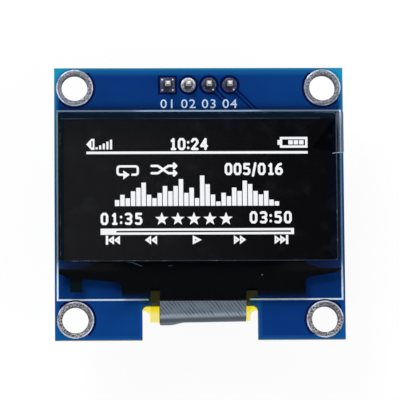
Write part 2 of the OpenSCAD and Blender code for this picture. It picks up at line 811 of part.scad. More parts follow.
// A bent leg that leaves the body at belt height, steps down and lies on its land; it points along +X
module bent_leg(width, belt_z) {
    foot = leg_run + leg_slope;
    bend = leg_t * 0.8;
    rotate([90, 0, 0]) linear_extrude(width, center = true) polygon([
        [0, belt_z], [leg_run, belt_z], [foot, land_t + leg_t], [leg_reach, land_t + leg_t],
        [leg_reach, land_t], [foot - bend, land_t], [leg_run - bend, belt_z - leg_t], [0, belt_z - leg_t]]);
}

regulator_belt = land_t + regulator_h * 0.5;
diode_belt = land_t + diode_h * 0.5;

// The regulator's three legs: two on its lower side, one on its upper side
function regulator_leg_spots() = [[-leg_pitch, -1], [leg_pitch, -1], [0, 1]];

module at_regulator_legs() {
    for (leg = regulator_leg_spots())
        translate([leg[0], leg[1] * regulator_w / 2, 0]) rotate(leg[1] * 90) children();
}

module at_diode_legs() {
    for (side = [-1, 1]) translate([side * diode_l / 2, 0, 0]) rotate(side > 0 ? 0 : 180) children();
}

module regulator_body() {
    color([0.07, 0.07, 0.08]) on_back(REGULATOR_SPOT)
        moulded_body(regulator_l, regulator_w, regulator_h, regulator_belt);
}

module regulator_legs() {
    color([0.78, 0.78, 0.8]) on_back(REGULATOR_SPOT) at_regulator_legs() bent_leg(leg_w, regulator_belt);
}

module diode_body() {
    color([0.07, 0.07, 0.08]) on_back(DIODE_SPOT) moulded_body(diode_l, diode_w, diode_h, diode_belt);
}

module diode_legs() {
    color([0.78, 0.78, 0.8]) on_back(DIODE_SPOT) at_diode_legs() bent_leg(diode_leg_w, diode_belt);
}

module leg_land(width) {
    land_w = width + 2 * land_margin;
    translate([leg_run, -land_w / 2, 0]) cube([leg_reach + leg_land_reach - leg_run, land_w, land_t]);
}

module leg_solder(width) {
    reach = leg_land_reach * 0.85;
    translate([leg_reach, 0, land_t]) rotate([90, 0, 0]) linear_extrude(width, center = true)
        polygon(concat([[0, 0]], arc(reach, leg_t, reach, leg_t * 0.85, 270, 180)));
}

module part_lands() {
    color([0.75, 0.76, 0.78]) {
        for (spot = concat(CAPACITOR_SPOTS, RESISTOR_SPOTS, [EMPTY_SPOT])) on_back(spot) chip_lands();
        on_back(REGULATOR_SPOT) at_regulator_legs() leg_land(leg_w);
        on_back(DIODE_SPOT) at_diode_legs() leg_land(diode_leg_w);
    }
}

module part_solder() {
    color([0.82, 0.83, 0.85]) {
        for (spot = CAPACITOR_SPOTS) on_back(spot) chip_solder(capacitor_h);
        for (spot = RESISTOR_SPOTS) on_back(spot) chip_solder(resistor_h);
        on_back(REGULATOR_SPOT) at_regulator_legs() leg_solder(leg_w);
        on_back(DIODE_SPOT) at_diode_legs() leg_solder(diode_leg_w);
    }
}

// Printed outlines round the small parts and the header
module back_print() {
    line = print_w * 0.75;
    margin = 2 * outline_gap;
    reach = 2 * (leg_reach + leg_land_reach) + margin;
    chip_inner = [chip_l + 2 * chip_land_reach + margin, chip_w + land_margin + margin];
    color([0.93, 0.95, 0.96]) {
        for (spot = concat(CAPACITOR_SPOTS, RESISTOR_SPOTS, [EMPTY_SPOT]))
            on_back(spot) linear_extrude(print_t) frame_2d(chip_inner, line);
        on_back(REGULATOR_SPOT) linear_extrude(print_t)
            frame_2d([regulator_l + margin, regulator_w + reach], line);
        on_back(DIODE_SPOT) linear_extrude(print_t) frame_2d([diode_l + reach, diode_w + margin], line);
        translate([0, header_y, -print_t]) linear_extrude(print_t)
            frame_2d([PIN_COUNT * pin_pitch + margin, base_w + margin], line);
    }
}

pcb();
for (i = [1:4]) hole_plating(i);
header_pads();
header_base();
for (i = [1:PIN_COUNT]) pin(i);
for (i = [1:PIN_COUNT]) solder_joint(i);
front_print();
for (i = [1:2]) foam_strip(i);
back_glass();
glass_seal();
emitting_layer();
front_glass();
polariser();
protective_film();
lit_graphics();
glass_tracks();
driver_chip();
chip_resin();
flex_lead();
flex_cover();
flex_fingers();
lead_lands();
lead_solder();
regulator_body();
regulator_legs();
diode_body();
diode_legs();
for (i = [1:CHIP_COUNT]) capacitor(i);
for (i = [1:CHIP_COUNT]) resistor(i);
part_lands();
part_solder();
back_print();
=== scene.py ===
"""Looks of a small OLED display module: finishes for every CAD node, the copper under the solder mask, the
figures on the screen and beside the pins, the folded lead, the chip parts, a white floor, lamps and a camera.
Sizes and places are in millimetres, and MM turns them into the scene's metres. Colours are as they are seen,
three numbers from 0 to 255."""
import math

import bmesh
import bpy
import numpy as np
from mathutils import Matrix, Vector


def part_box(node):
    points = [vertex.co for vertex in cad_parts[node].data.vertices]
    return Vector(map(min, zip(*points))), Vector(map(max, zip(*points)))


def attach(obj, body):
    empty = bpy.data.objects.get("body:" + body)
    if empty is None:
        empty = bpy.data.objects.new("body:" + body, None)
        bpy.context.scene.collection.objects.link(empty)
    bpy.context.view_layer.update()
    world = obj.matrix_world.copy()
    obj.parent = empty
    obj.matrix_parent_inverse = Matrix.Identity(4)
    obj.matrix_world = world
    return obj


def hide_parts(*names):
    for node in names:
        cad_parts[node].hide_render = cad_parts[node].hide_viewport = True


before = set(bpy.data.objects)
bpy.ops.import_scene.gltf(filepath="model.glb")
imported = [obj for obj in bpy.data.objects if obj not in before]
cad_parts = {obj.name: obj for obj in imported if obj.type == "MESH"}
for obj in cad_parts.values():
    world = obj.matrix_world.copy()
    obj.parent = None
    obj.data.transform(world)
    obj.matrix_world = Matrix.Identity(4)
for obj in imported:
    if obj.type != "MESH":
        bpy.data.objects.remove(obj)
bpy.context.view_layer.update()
MM = 0.001


def box(node):
    """The lower and the upper corner of a CAD node."""
    low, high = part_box(node)
    return low / MM, high / MM


def numbered(stem, count):
    return [f"{stem}_{i}" for i in range(1, count + 1)]


# ---- Places taken from the frame ----

BOARD_LOW, BOARD_HIGH = box("pcb")
GLASS_LOW, GLASS_HIGH = box("front_glass")
BACK_GLASS_LOW, BACK_GLASS_HIGH = box("back_glass")
POLARISER_LOW, POLARISER_HIGH = box("polariser")
FILM_LOW, FILM_HIGH = box("protective_film")
LEAD_LOW, LEAD_HIGH = box("flex_lead")
COVER_LOW, COVER_HIGH = box("flex_cover")
LIT_LOW, LIT_HIGH = box("lit_graphics")
PIN_LOW, PIN_HIGH = box("pin_1")
HOLES = [sum(box(node), Vector()) / 2 for node in numbered("hole_plating", 4)]
PINS = [sum(box(node), Vector()) / 2 for node in numbered("pin", 4)]
RING_R = (box("hole_plating_1")[1].x - box("hole_plating_1")[0].x) / 2
LAND_R = (box("solder_joint_2")[1].x - box("solder_joint_2")[0].x) / 2
PIN_PITCH = PINS[1].x - PINS[0].x
TAIL_END = box("flex_fingers")[1].y
FOLD_R = (LEAD_HIGH.z - LEAD_LOW.z) / 2
FOLD_Z = (LEAD_HIGH.z + LEAD_LOW.z) / 2
FOLD_Y = LEAD_LOW.y + FOLD_R

# ---- Sizes of what is made here, and of what the frame gives no box for ----

NOTCH_HALF = 7.05
NOTCH_Y = GLASS_LOW.y - 0.55
COPPER_T = 0.015
POUR_INSET = 0.5
RING_CLEAR = 0.3
LAND_CLEAR = 0.38
TRACK_W = 0.26
TRACK_CLEAR = 0.2
TRACK_RUNS = (3.9, 4.6)
COPPER_TOP = BOARD_HIGH.z + COPPER_T
INK_T = 0.02
NUMBER_SIZE = 1.541
NUMBER_BELOW = 2.85
POLARISER_CORNER = 0.4
RIM_W = 0.1
MARK_T = 0.008
LEAD_T = 0.1
LEAD_HALF = 6.1
LEAD_BOND = 1.5
EAR_W = 0.85
FOLD_OUT = 0.05
FOLD_RISE = 0.14
FOLD_BULGE = 0.3
FLARE_R = 0.9
FLARE_END = NOTCH_Y - 0.5
COVER_T = 0.03
COVER_PAST = 0.7
COVER_RIDGE = 0.6   # of the cover's thickness
SLANT_PITCH = 0.36
SLANT = (0.788, 0.616)
FINGER_PITCH = 0.5

# How much glossy coats reflect, where 0.5 is usual; less keeps their colours deep in the white studio
MASK_SHINE = 0.12
GLASS_SHINE = 0.25


def srgb(red, green, blue):
    """A colour as it is seen, turned into the linear values that shaders take."""
    def linear(value):
        value /= 255
        return value / 12.92 if value <= 0.04045 else ((value + 0.055) / 1.055) ** 2.4
    return (linear(red), linear(green), linear(blue), 1.0)


# ---- Building materials ----

class Value:
    """A number that a material's nodes work out, with plain arithmetic."""

    def __init__(self, shader, socket):
        self.shader = shader
        self.socket = socket

    def __add__(self, other):
        return self.shader.math("ADD", self, other)

    def __sub__(self, other):
        return self.shader.math("SUBTRACT", self, other)

    def __rsub__(self, other):
        return self.shader.math("SUBTRACT", other, self)

    def __mul__(self, other):
        return self.shader.math("MULTIPLY", self, other)

    def __truediv__(self, other):
        return self.shader.math("DIVIDE", self, other)

    def __abs__(self):
        return self.shader.math("ABSOLUTE", self)

    def __neg__(self):
        return self * -1.0

    __radd__, __rmul__ = __add__, __mul__


class Shader:
    """A material's node tree, or the world's, with one short call for each kind of node that is used."""

    def __init__(self, name, kind="Material"):
        owners = bpy.data.worlds if kind == "World" else bpy.data.materials
        self.owner = owners.new(name)
        self.owner.use_nodes = True
        self.tree = self.owner.node_tree
        self.tree.nodes.clear()
        self.output = self.node("Output" + kind)
        place = self.node("TexCoord").outputs["Object"]
        self.place = self.node("Mapping", Vector=place, Scale=[1 / MM] * 3).outputs[0]

    def node(self, kind, **inputs):
        """A new node, with some of its inputs linked or set."""
        node = self.tree.nodes.new("ShaderNode" + kind)
        for name, value in inputs.items():
            self.put(node.inputs[name.replace("_", " ")], value)
        return node

    def put(self, socket, value):
        """Links a socket to another node's output, or sets its own value."""
        if isinstance(value, Value):
            value = value.socket
        if isinstance(value, bpy.types.NodeSocket):
            self.tree.links.new(value, socket)
        elif socket.type == "RGBA" and len(value) == 3:
            socket.default_value = srgb(*value)
        else:
            socket.default_value = value

    def math(self, operation, *values):
        node = self.node("Math")
        node.operation = operation
        for socket, value in zip(node.inputs, values):
            self.put(socket, value)
        return Value(self, node.outputs[0])

    def smallest(self, first, *others):
        for value in others:
            first = self.math("MINIMUM", first, value)
        return first

    def largest(self, first, second):
        return self.math("MAXIMUM", first, second)

    def length(self, along, across):
        return self.math("SQRT", along * along + across * across)

    def ramp(self, value, low, high, start=0.0, end=1.0):
        """start below low and end above high, with a smooth step between them."""
        node = self.node("MapRange", Value=value, From_Min=low, From_Max=high, To_Min=start, To_Max=end)
        node.interpolation_type = "SMOOTHSTEP"
        return Value(self, node.outputs[0])

    def between(self, factor, low, high):
        """low at factor 0 and high at factor 1."""
        return Value(self, self.node("MapRange", Value=factor, To_Min=low, To_Max=high).outputs[0])

    def blend(self, factor, first, second):
        """first at factor 0, second at factor 1; both are colours."""
        node = self.node("Mix")
        node.data_type = "RGBA"
        for socket, value in ((0, factor), (6, first), (7, second)):
            self.put(node.inputs[socket], value)
        return node.outputs[2]

    def noise(self, size, detail=3.0, roughness=0.5, stretch=None):
        """Noise from 0 to 1 with features of about that size, squeezed along the axes by stretch."""
        place = self.node("Mapping", Vector=self.place, Scale=stretch).outputs[0] if stretch else self.place
        node = self.node("TexNoise", Vector=place, Scale=1 / size, Detail=detail, Roughness=roughness)
        return Value(self, node.outputs["Fac"])

    def parts(self, vector):
        """The three numbers of a place or a direction."""
        return [Value(self, output) for output in self.node("SeparateXYZ", Vector=vector).outputs]

    def axes(self):
        return self.parts(self.place)

    def facing(self, normal="Normal"):
        """How far the surface points along Z, from -1 to 1."""
        return self.parts(self.node("NewGeometry").outputs[normal])[2]

    def bump(self, height, depth, strength=1.0):
        return self.node("Bump", Height=height, Distance=depth * MM, Strength=strength).outputs[0]

    def from_pin(self, x):
        """Distance along the row from the nearest pin's middle."""
        return abs(self.math("PINGPONG", x, PIN_PITCH / 2) - PIN_PITCH / 2)

    def principled(self, colour, roughness, shine=0.5, **others):
        node = self.node("BsdfPrincipled", Base_Color=colour, Roughness=roughness, **others)
        node.inputs["Specular IOR Level"].default_value = shine
        return node.outputs[0]

    def mix(self, factor, first, second):
        """Two whole surfaces mixed."""
        node = self.node("MixShader")
        for socket, value in zip(node.inputs, (factor, first, second)):
            self.put(socket, value)
        return node.outputs[0]

    def finish(self, surface):
        self.put(self.output.inputs["Surface"], surface)
        return self.owner

    def paint(self, *values, **others):
        """Finishes the material with one plain surface."""
        return self.finish(self.principled(*values, **others))


def bare_mask_material():
    """Solder mask where the front has no copper: dark over the pour behind it, and a lit-through teal along
    the board's edge, where there is none on either side, painted brighter and more cyan at the upper edges
    and the corners as a reflection. On the back it lies over the pour. The cut sides show the glass-fibre
    core."""
    s = Shader("solder_mask_bare")
    x, y, _ = s.axes()
    side = BOARD_HIGH.x - abs(x)
    end = s.smallest(BOARD_HIGH.y - y, y - BOARD_LOW.y)
    notch = s.largest(abs(x) - NOTCH_HALF, y - NOTCH_Y)
    distance = s.smallest(side, end, notch)
    rim = 1 - s.ramp(distance, POUR_INSET + 0.02, POUR_INSET + 0.12)
    outermost = 1 - s.ramp(distance, 0.0, 0.42)
    corner = 1 - s.ramp(side + end, 0.9, 2.6)
    upper_half = s.ramp(y, -2, 12)
    weave = s.noise(0.5, 2.0)
    dark = s.blend(weave, (4, 16, 62), (7, 24, 76))
    # Painted reflection: the upper edges, and the corners most of all, are painted lighter and more cyan.
    upper_edge_glint = s.blend(outermost, (15, 84, 144), (40, 120, 152))
    edge_blue = s.blend(upper_half, s.blend(outermost, (13, 66, 136), (22, 76, 140)), upper_edge_glint)
    corner_glint = s.blend(upper_half, (10, 84, 146), (26, 140, 182))
    back = s.ramp(-s.facing(), 0.4, 0.6)
    field = s.blend(back, dark, s.blend(weave, (9, 50, 116), (11, 57, 124)))
    mask = s.blend(corner, s.blend(rim, field, edge_blue), corner_glint)
    core = s.blend(s.noise(0.12, 2.0, stretch=(1, 1, 6)), (120, 132, 84), (164, 170, 116))
    skin = s.ramp(abs(s.facing()), 0.4, 0.6)
    relief = s.bump(s.noise(0.35, 3.0), 0.01, 0.2)
    return s.paint(s.blend(skin, core, mask), s.between(skin, 0.75, 0.2), Normal=relief, shine=MASK_SHINE)


def copper_mask_material():
    """Solder mask over copper: a nearly even blue with a faint orange peel, painted a little lighter or
    darker down and across the board as the light falls. Painted shadow darkens it just above the panel, and a
    painted reflection makes it clearer at the board's upper edge."""
    s = Shader("solder_mask_over_copper")
    x, y, _ = s.axes()
    # Painted shading: the blue is a little lighter or darker down and across the board, as the light falls.
    height = s.ramp(y, BOARD_LOW.y, BOARD_HIGH.y)
    across = s.ramp(x, -8, 12)
    lower = s.blend(across, (11, 62, 130), (9, 52, 119))
    upper = s.blend(across, (10, 54, 119), (10, 58, 124))
    even = s.blend(height, lower, upper)
    patches = s.ramp(s.noise(4, 3.0), 0.35, 0.7)
    colour = s.blend(patches * 0.35, even, (8, 46, 112))
    # Painted shadow: a dark band on the mask just above the panel, where the panel shades it.
    gap = y - GLASS_HIGH.y
    above = s.ramp(gap, 0.0, 0.1) * (1 - s.ramp(gap, 0.4, 1.5))
    colour = s.blend(above * 0.75, colour, (7, 28, 58))
    # Painted reflection: the mask is painted lighter along the board's upper edge.
    top_edge_reflection = s.ramp(y, BOARD_HIGH.y - 1.1, BOARD_HIGH.y - POUR_INSET)
    colour = s.blend(top_edge_reflection, colour, (15, 82, 143))
    relief = s.bump(s.noise(0.3, 3.0), 0.008, 0.2)
    return s.paint(colour, s.between(s.noise(1.5), 0.18, 0.28), Normal=relief, shine=MASK_SHINE)


def tin_material(name, light, dark, grain, relief_depth, roughness=(0.22, 0.5)):
    """Solder-coated copper: bright metal, mottled where the coat is thin or uneven."""
    s = Shader(name)
    mottle = s.ramp(s.noise(grain, 5.0, 0.65), 0.36, 0.64)
    colour = s.blend(mottle, dark, light)
    relief = s.bump(s.noise(grain * 0.8, 4.0), relief_depth, 0.6)
    rough = s.between(s.noise(grain * 1.3), *roughness)
    return s.paint(colour, rough, Metallic=1.0, Normal=relief)


def ring_material():
    """The tinned rings: a mottled grey field, painted in a softer light on the upper rings than on the lower
    ones, a thin bright outer rim as a painted highlight and a dark line at the hole's edge as painted shade.
    """
    s = Shader("tinned_ring")
    x, y, _ = s.axes()
    from_x = abs(x) - abs(HOLES[0].x)
    from_y = abs(y) - abs(HOLES[0].y)
    radius = s.length(from_x, from_y)
    # Painted highlight: a thin bright line along the ring's outer edge, uneven along its length.
    rim = s.ramp(radius, RING_R - 0.2, RING_R - 0.1)
    # Painted shade: a dark line where the ring turns down into the hole.
    inner = 1 - s.ramp(radius, RING_R - 0.64, RING_R - 0.55)
    mottle = s.ramp(s.noise(0.22, 5.0, 0.75), 0.4, 0.66)
    # Painted light: the upper rings get lighter darks and dimmer brights than the lower ones.
    upper = s.ramp(y, -4, 4)
    field = s.blend(mottle, s.blend(upper, (58, 56, 62), (92, 94, 104)),
                    s.blend(upper, (234, 236, 242), (196, 204, 214)))
    cloud = s.ramp(s.noise(1.3, 3.0), 0.42, 0.62) * 0.55
    field = s.blend(cloud, field, s.blend(upper, (88, 84, 92), (112, 116, 126)))
    uneven = s.ramp(s.noise(1.6, 2.0), 0.3, 0.6)
    colour = s.blend(rim * uneven, field, (226, 232, 244))
    colour = s.blend(inner * 0.7, colour, (60, 58, 62))
    relief = s.bump(s.noise(0.28, 4.0), 0.03, 0.7)
    return s.paint(colour, s.between(mottle, 0.72, 0.5), Metallic=0.85, Normal=relief)


def land_material():
    """The header's lands: dull dark solder, a painted highlight on the second that is brightest at its top,
    painted shade round each pin, and small painted glints at the first one's corners, below the second and
    where tracks leave the last two."""
    s = Shader("header_lands")
    x, y, _ = s.axes()
    mottle = s.ramp(s.noise(0.2, 5.0, 0.7), 0.4, 0.64)
    dull = s.blend(mottle, (30, 34, 66), (104, 108, 134))
    # Painted highlight: the second land is painted bright, brightest towards its top.
    from_second = abs(x - PINS[1].x)
    second = 1 - s.ramp(from_second, 1.0, 1.2)
    crown_glint = s.ramp(y, PINS[1].y - 0.5, PINS[1].y + 0.3)
    shine = s.blend(mottle, (160, 166, 176), (250, 252, 255))
    colour = s.blend(second * s.between(crown_glint, 0.3, 1.0), dull, shine)
    from_pin = s.from_pin(x)
    from_row = y - PINS[0].y
    radius = s.length(from_pin, from_row)
    # Painted shade: a dark ring round each pin's foot.
    fillet_shade = 1 - s.ramp(radius, 0.5, 0.62)
    colour = s.blend(fillet_shade * 0.8, colour, (34, 34, 48))
    # Painted glints: small bright spots at the first land's corners, below the second and where tracks leave
    # the last two.
    painted_glints = [(PINS[0].x + a * 0.64, PINS[0].y + b * 0.64) for a in (-1, 1) for b in (-1, 1)]
    painted_glints += [(PINS[1].x - 0.6, PINS[1].y - 0.28), (PINS[1].x + 0.6, PINS[1].y - 0.28)]
    painted_glints += [(pin.x + 0.5, pin.y - 0.6) for pin in PINS[2:]]
    for glint_x, glint_y in painted_glints:
        gap = s.length(x - glint_x, y - glint_y)
        colour = s.blend(1 - s.ramp(gap, 0.03, 0.14), colour, (250, 252, 255))
    relief = s.bump(mottle, 0.02, 0.5)
    return s.paint(colour, s.between(mottle, 0.5, 0.65), Metallic=0.3, Normal=relief)


def pin_material():
    """Square pin metal, with a painted highlight at the middle of its upper end and painted shade round it.
    """
    s = Shader("pin_metal")
    scuff = s.noise(0.3, 4.0, stretch=(1, 1, 0.15))
    colour = s.blend(s.ramp(scuff, 0.4, 0.7), (206, 202, 190), (238, 236, 226))
    x, y, z = s.axes()
    from_pin = s.from_pin(x)
    from_row = abs(y - (PINS[0].y + 0.06))
    edge = s.ramp(s.largest(from_pin, from_row), 0.14, 0.3)
    end = s.ramp(z, PIN_HIGH.z - 0.2, PIN_HIGH.z - 0.05)
    # Painted highlight at the middle of the upper end, and painted shade at the end's edges.
    colour = s.blend(end * (1 - edge), colour, (255, 255, 250))
    colour = s.blend(end * edge, colour, (104, 100, 96))
    return s.paint(colour, s.between(scuff, 0.4, 0.6), Metallic=0.6)


def moulding_material():
    s = Shader("black_moulding")
    grain = s.noise(0.12, 4.0, 0.6)
    colour = s.blend(grain, (20, 20, 22), (32, 32, 34))
    relief = s.bump(grain, 0.02, 0.4)
    return s.paint(colour, s.between(grain, 0.45, 0.65), Normal=relief)


def ink_material(name, bright, left, top, right):
    """Screen-printed ink, a little uneven in thickness, so that the mask shows through in places. Painted
    shade dulls it beside the stacked glasses, differently at each of their sides. It is painted bluer beside
    the lead, against the yellow light that the lead lets through, pale at the pull tab as a painted
    highlight, and dark behind the lead as a painted shadow."""
    s = Shader(name)
    x, y, _ = s.axes()
    # Painted shade: bright is the ink in the open; left, top and right are it in painted shade beside the
    # glasses' left side, top and right side.
    beside = s.blend(s.ramp(x, -12, 12), left, right)
    above = s.ramp(y, BACK_GLASS_HIGH.y - 0.3, BACK_GLASS_HIGH.y)
    dull = s.blend(above, beside, top)
    body = s.blend(s.ramp(y, BACK_GLASS_LOW.y - 1.2, BACK_GLASS_LOW.y), bright, dull)
    thin = s.ramp(s.noise(0.5, 4.0, 0.6), 0.66, 0.84)
    colour = s.blend(thin * 0.4, body, (40, 80, 140))
    # Painted highlight: the ink at the pull tab is painted pale.
    tab = s.ramp(x, GLASS_HIGH.x - 0.1, GLASS_HIGH.x) * s.ramp(y, 6.05, 6.25)
    colour = s.blend(tab, colour, (206, 212, 226))
    from_lead = abs(x + 0.12)
    under_lead_shade = 1 - s.ramp(from_lead, 6.1, 6.2)
    # Painted light: the ink is painted bluer beside the lead, to offset the yellow light that the lead lets
    # through onto it.
    beside_lead = 1 - s.ramp(from_lead, 6.5, 8.5)
    colour = s.blend(beside_lead * 0.6, colour, (190, 218, 255))
    # Painted shadow: the ink behind the lead, near the glass's lower edge, is painted dark.
    low = 1 - s.ramp(y, GLASS_LOW.y + 0.6, GLASS_LOW.y + 0.7)
    colour = s.blend(under_lead_shade * low, colour, (10, 30, 66))
    relief = s.bump(s.noise(0.15, 3.0), 0.01, 0.5)
    return s.paint(colour, 0.6, Normal=relief, shine=GLASS_SHINE)


def foam_material():
    s = Shader("foam_tape")
    bubbles = s.node("TexVoronoi", Vector=s.place, Scale=1 / 0.12).outputs["Distance"]
    colour = s.blend(s.ramp(bubbles, 0.1, 0.7), (196, 196, 190), (226, 226, 220))
    return s.paint(colour, 0.9, Normal=s.bump(bubbles, 0.05, 0.6))


def glass_material():
    """Clear sheet glass: almost nothing on its faces, and a greenish body where it is seen through its edge,
    duller at the edges that the camera sees from inside. A faint grey patch on its face, below the
    polariser towards each side, is a painted reflection."""
    s = Shader("clear_glass")
    face = s.ramp(abs(s.facing("True Normal")), 0.5, 0.7)
    x, y, _ = s.axes()
    right = s.ramp(x, GLASS_HIGH.x - 0.2, GLASS_HIGH.x - 0.1)
    top = s.ramp(y, GLASS_HIGH.y - 0.2, GLASS_HIGH.y - 0.1)
    bottom = 1 - s.ramp(y, GLASS_LOW.y + 0.1, GLASS_LOW.y + 0.2)
    edge = s.blend(top, s.blend(right, (84, 108, 106), (34, 78, 110)), (30, 50, 64))
    seen = 0.7 - s.largest(bottom * 0.6, right * 0.4)
    left = 1 - s.ramp(x, GLASS_LOW.x + 0.18, GLASS_LOW.x + 0.26)
    left = left * s.ramp(y, BACK_GLASS_LOW.y - 0.1, BACK_GLASS_LOW.y)
    # Painted reflection: a faint grey patch on the face below the polariser, towards each side.
    reflection_patch = s.ramp(abs(x), 8, 12) * s.ramp(y, -8.7, -8.1) * (1 - s.ramp(y, -7.4, -7.3))
    dim = s.blend(reflection_patch, (4, 7, 10), (56, 52, 56))
    colour = s.blend(face, edge, s.blend(left, dim, (8, 17, 24)))
    through = s.between(left, 0.1, 0.6)
    alpha = seen * (1 - face) + face * through
    ripple = s.bump(s.noise(3, 2.0), 0.002, 0.2)
    return s.paint(colour, s.between(face, 0.25, 0.05), Alpha=alpha, Normal=ripple, shine=GLASS_SHINE)


def polariser_material():
    """Dark polarising film. Inside the layers' area it lies over black, painted lighter towards the left as a
    reflection, less so near the top; round it the board's blue shows through. A faint line crosses it near
    the top."""
    s = Shader("polariser_film")
    x, y, _ = s.axes()
    left = s.ramp(x, POLARISER_LOW.x + 0.42, POLARISER_LOW.x + 0.56)
    right = s.ramp(-x, -POLARISER_HIGH.x + 0.6, -POLARISER_HIGH.x + 1.3)
    top = s.ramp(-y, -POLARISER_HIGH.y + 0.55, -POLARISER_HIGH.y + 1.0)
    inside = left * right * top
    across = s.ramp(x, POLARISER_LOW.x, POLARISER_HIGH.x)
    # Painted reflection: the black is lighter towards the left, less so near the top.
    black = s.blend(across, (26, 26, 28), (8, 7, 10))
    black = s.blend(s.ramp(y, 7, 10), black, s.blend(across, (20, 22, 24), (8, 8, 12)))
    rim_side = s.blend(across, (8, 20, 28), (6, 9, 20))
    rim_side = s.blend(top, (9, 24, 38), rim_side)
    colour = s.blend(inside, rim_side, black)
    lift = abs(y - (POLARISER_HIGH.y - 0.72))
    line = 1 - s.ramp(lift, 0.03, 0.09)
    line = line * (1 - s.ramp(x, 14.6, 14.9))
    line = line * s.ramp(s.noise(6, 2.0), 0.35, 0.6)
    colour = s.blend(line, colour, (46, 54, 72))
    smudge = s.noise(4, 3.0)
    return s.paint(colour, s.between(smudge, 0.1, 0.16), Alpha=s.between(inside, 0.9, 1.0), shine=GLASS_SHINE)


def film_material():
    """Clear protective film, with a faint haze. Its pull tab, which lies over the panel's edge, is milkier at
    the top, with upright streaks, and its strip beyond the glass's edge is painted pale as a highlight."""
    s = Shader("clear_film")
    x, y, _ = s.axes()
    haze = s.ramp(s.noise(2.5, 4.0, 0.6), 0.5, 0.8)
    tab = s.ramp(x, POLARISER_HIGH.x - 0.02, POLARISER_HIGH.x + 0.02)
    milk = s.between(s.ramp(y, POLARISER_HIGH.y - 2.5, POLARISER_HIGH.y - 0.2), 0.015, 0.1)
    streak = s.ramp(s.noise(0.3, 2.0, stretch=(1, 0.06, 1)), 0.5, 0.66)
    milk = milk + streak * 0.06
    # Painted highlight: the strip beyond the glass's edge is painted pale and milky.
    outer = s.ramp(x, GLASS_HIGH.x + 0.16, GLASS_HIGH.x + 0.24)
    milk = milk + outer * 0.7
    density = s.largest(haze * 0.012, tab * milk)
    colour = s.blend(outer, (168, 184, 206), (92, 94, 118))
    creases = s.bump(s.noise(3.0, 1.0, stretch=(0.4, 1, 1)), 0.02, 0.15)
    return s.paint(colour, 0.12, Alpha=density, Normal=creases, shine=GLASS_SHINE)


def film_edge_material():
    """The cut edge of the clear film and of the polariser under it, which catches the light in places."""
    s = Shader("film_edge")
    x, y, _ = s.axes()
    glint = s.ramp(s.noise(1.1, 4.0, 0.7), 0.52, 0.74)
    right = s.ramp(x, 14, 16)
    upper = right * s.ramp(y, -2, 8)
    colour = s.blend(glint, (54, 68, 82), (128, 142, 158))
    colour = s.blend(upper, colour, (84, 94, 114))
    left = s.ramp(-x, 14, 16)
    top = s.ramp(y, POLARISER_HIGH.y - 0.2, POLARISER_HIGH.y - 0.1) * (1 - right)
    seen = s.between(glint, 0.55, 0.9) - left * 0.45
    seen = seen * s.between(top, 1.0, 0.2)
    return s.paint(colour, 0.4, Alpha=seen, shine=GLASS_SHINE)


def lit_material():
    """Lit pixels, a shade under white and slightly uneven, as a panel's own light is."""
    s = Shader("lit_pixels")
    glow = s.between(s.noise(0.4, 2.0), 0.9, 0.98)
    return s.paint((20, 20, 22), 0.5, Emission_Color=(250, 251, 255), Emission_Strength=glow, shine=0.0)


def tracks_material():
    """The fan of fine metal tracks on the glass: near black, with a faint grain along the tracks. It thins
    out to a navy veil along its lower edge, and to a green one at its lower left end."""
    s = Shader("dark_tracks")
    x, y, _ = s.axes()
    lines = s.noise(0.18, 3.0, stretch=(1, 0.12, 1))
    solid = s.blend(s.ramp(lines, 0.4, 0.7), (2, 3, 6), (6, 8, 12))
    depth = y - GLASS_LOW.y
    veil = 1 - s.ramp(depth, 0.5, 1.25)
    beside_lead = s.ramp(abs(x), 5.6, 6.4)
    veil = veil * beside_lead
    tab = s.ramp(-x, 14.2, 14.4) * (1 - s.ramp(depth, 2.1, 2.5))
    colour = s.blend(veil, solid, (8, 20, 48))
    colour = s.blend(tab, colour, (6, 22, 26))
    alpha = 1 - s.largest(veil * 0.45, tab * 0.16)
    return s.paint(colour, 0.4, Alpha=alpha, shine=MASK_SHINE)


def plain_material(name, first, second, size, roughness, metallic=0.0, depth=0.01):
    """Two close colours mixed by fine noise, with a matching relief."""
    s = Shader(name)
    grain = s.noise(size, 4.0)
    colour = s.blend(grain, first, second)
    relief = s.bump(grain, depth, 0.5)
    rough = s.between(grain, *roughness)
    return s.paint(colour, rough, Metallic=metallic, Normal=relief)


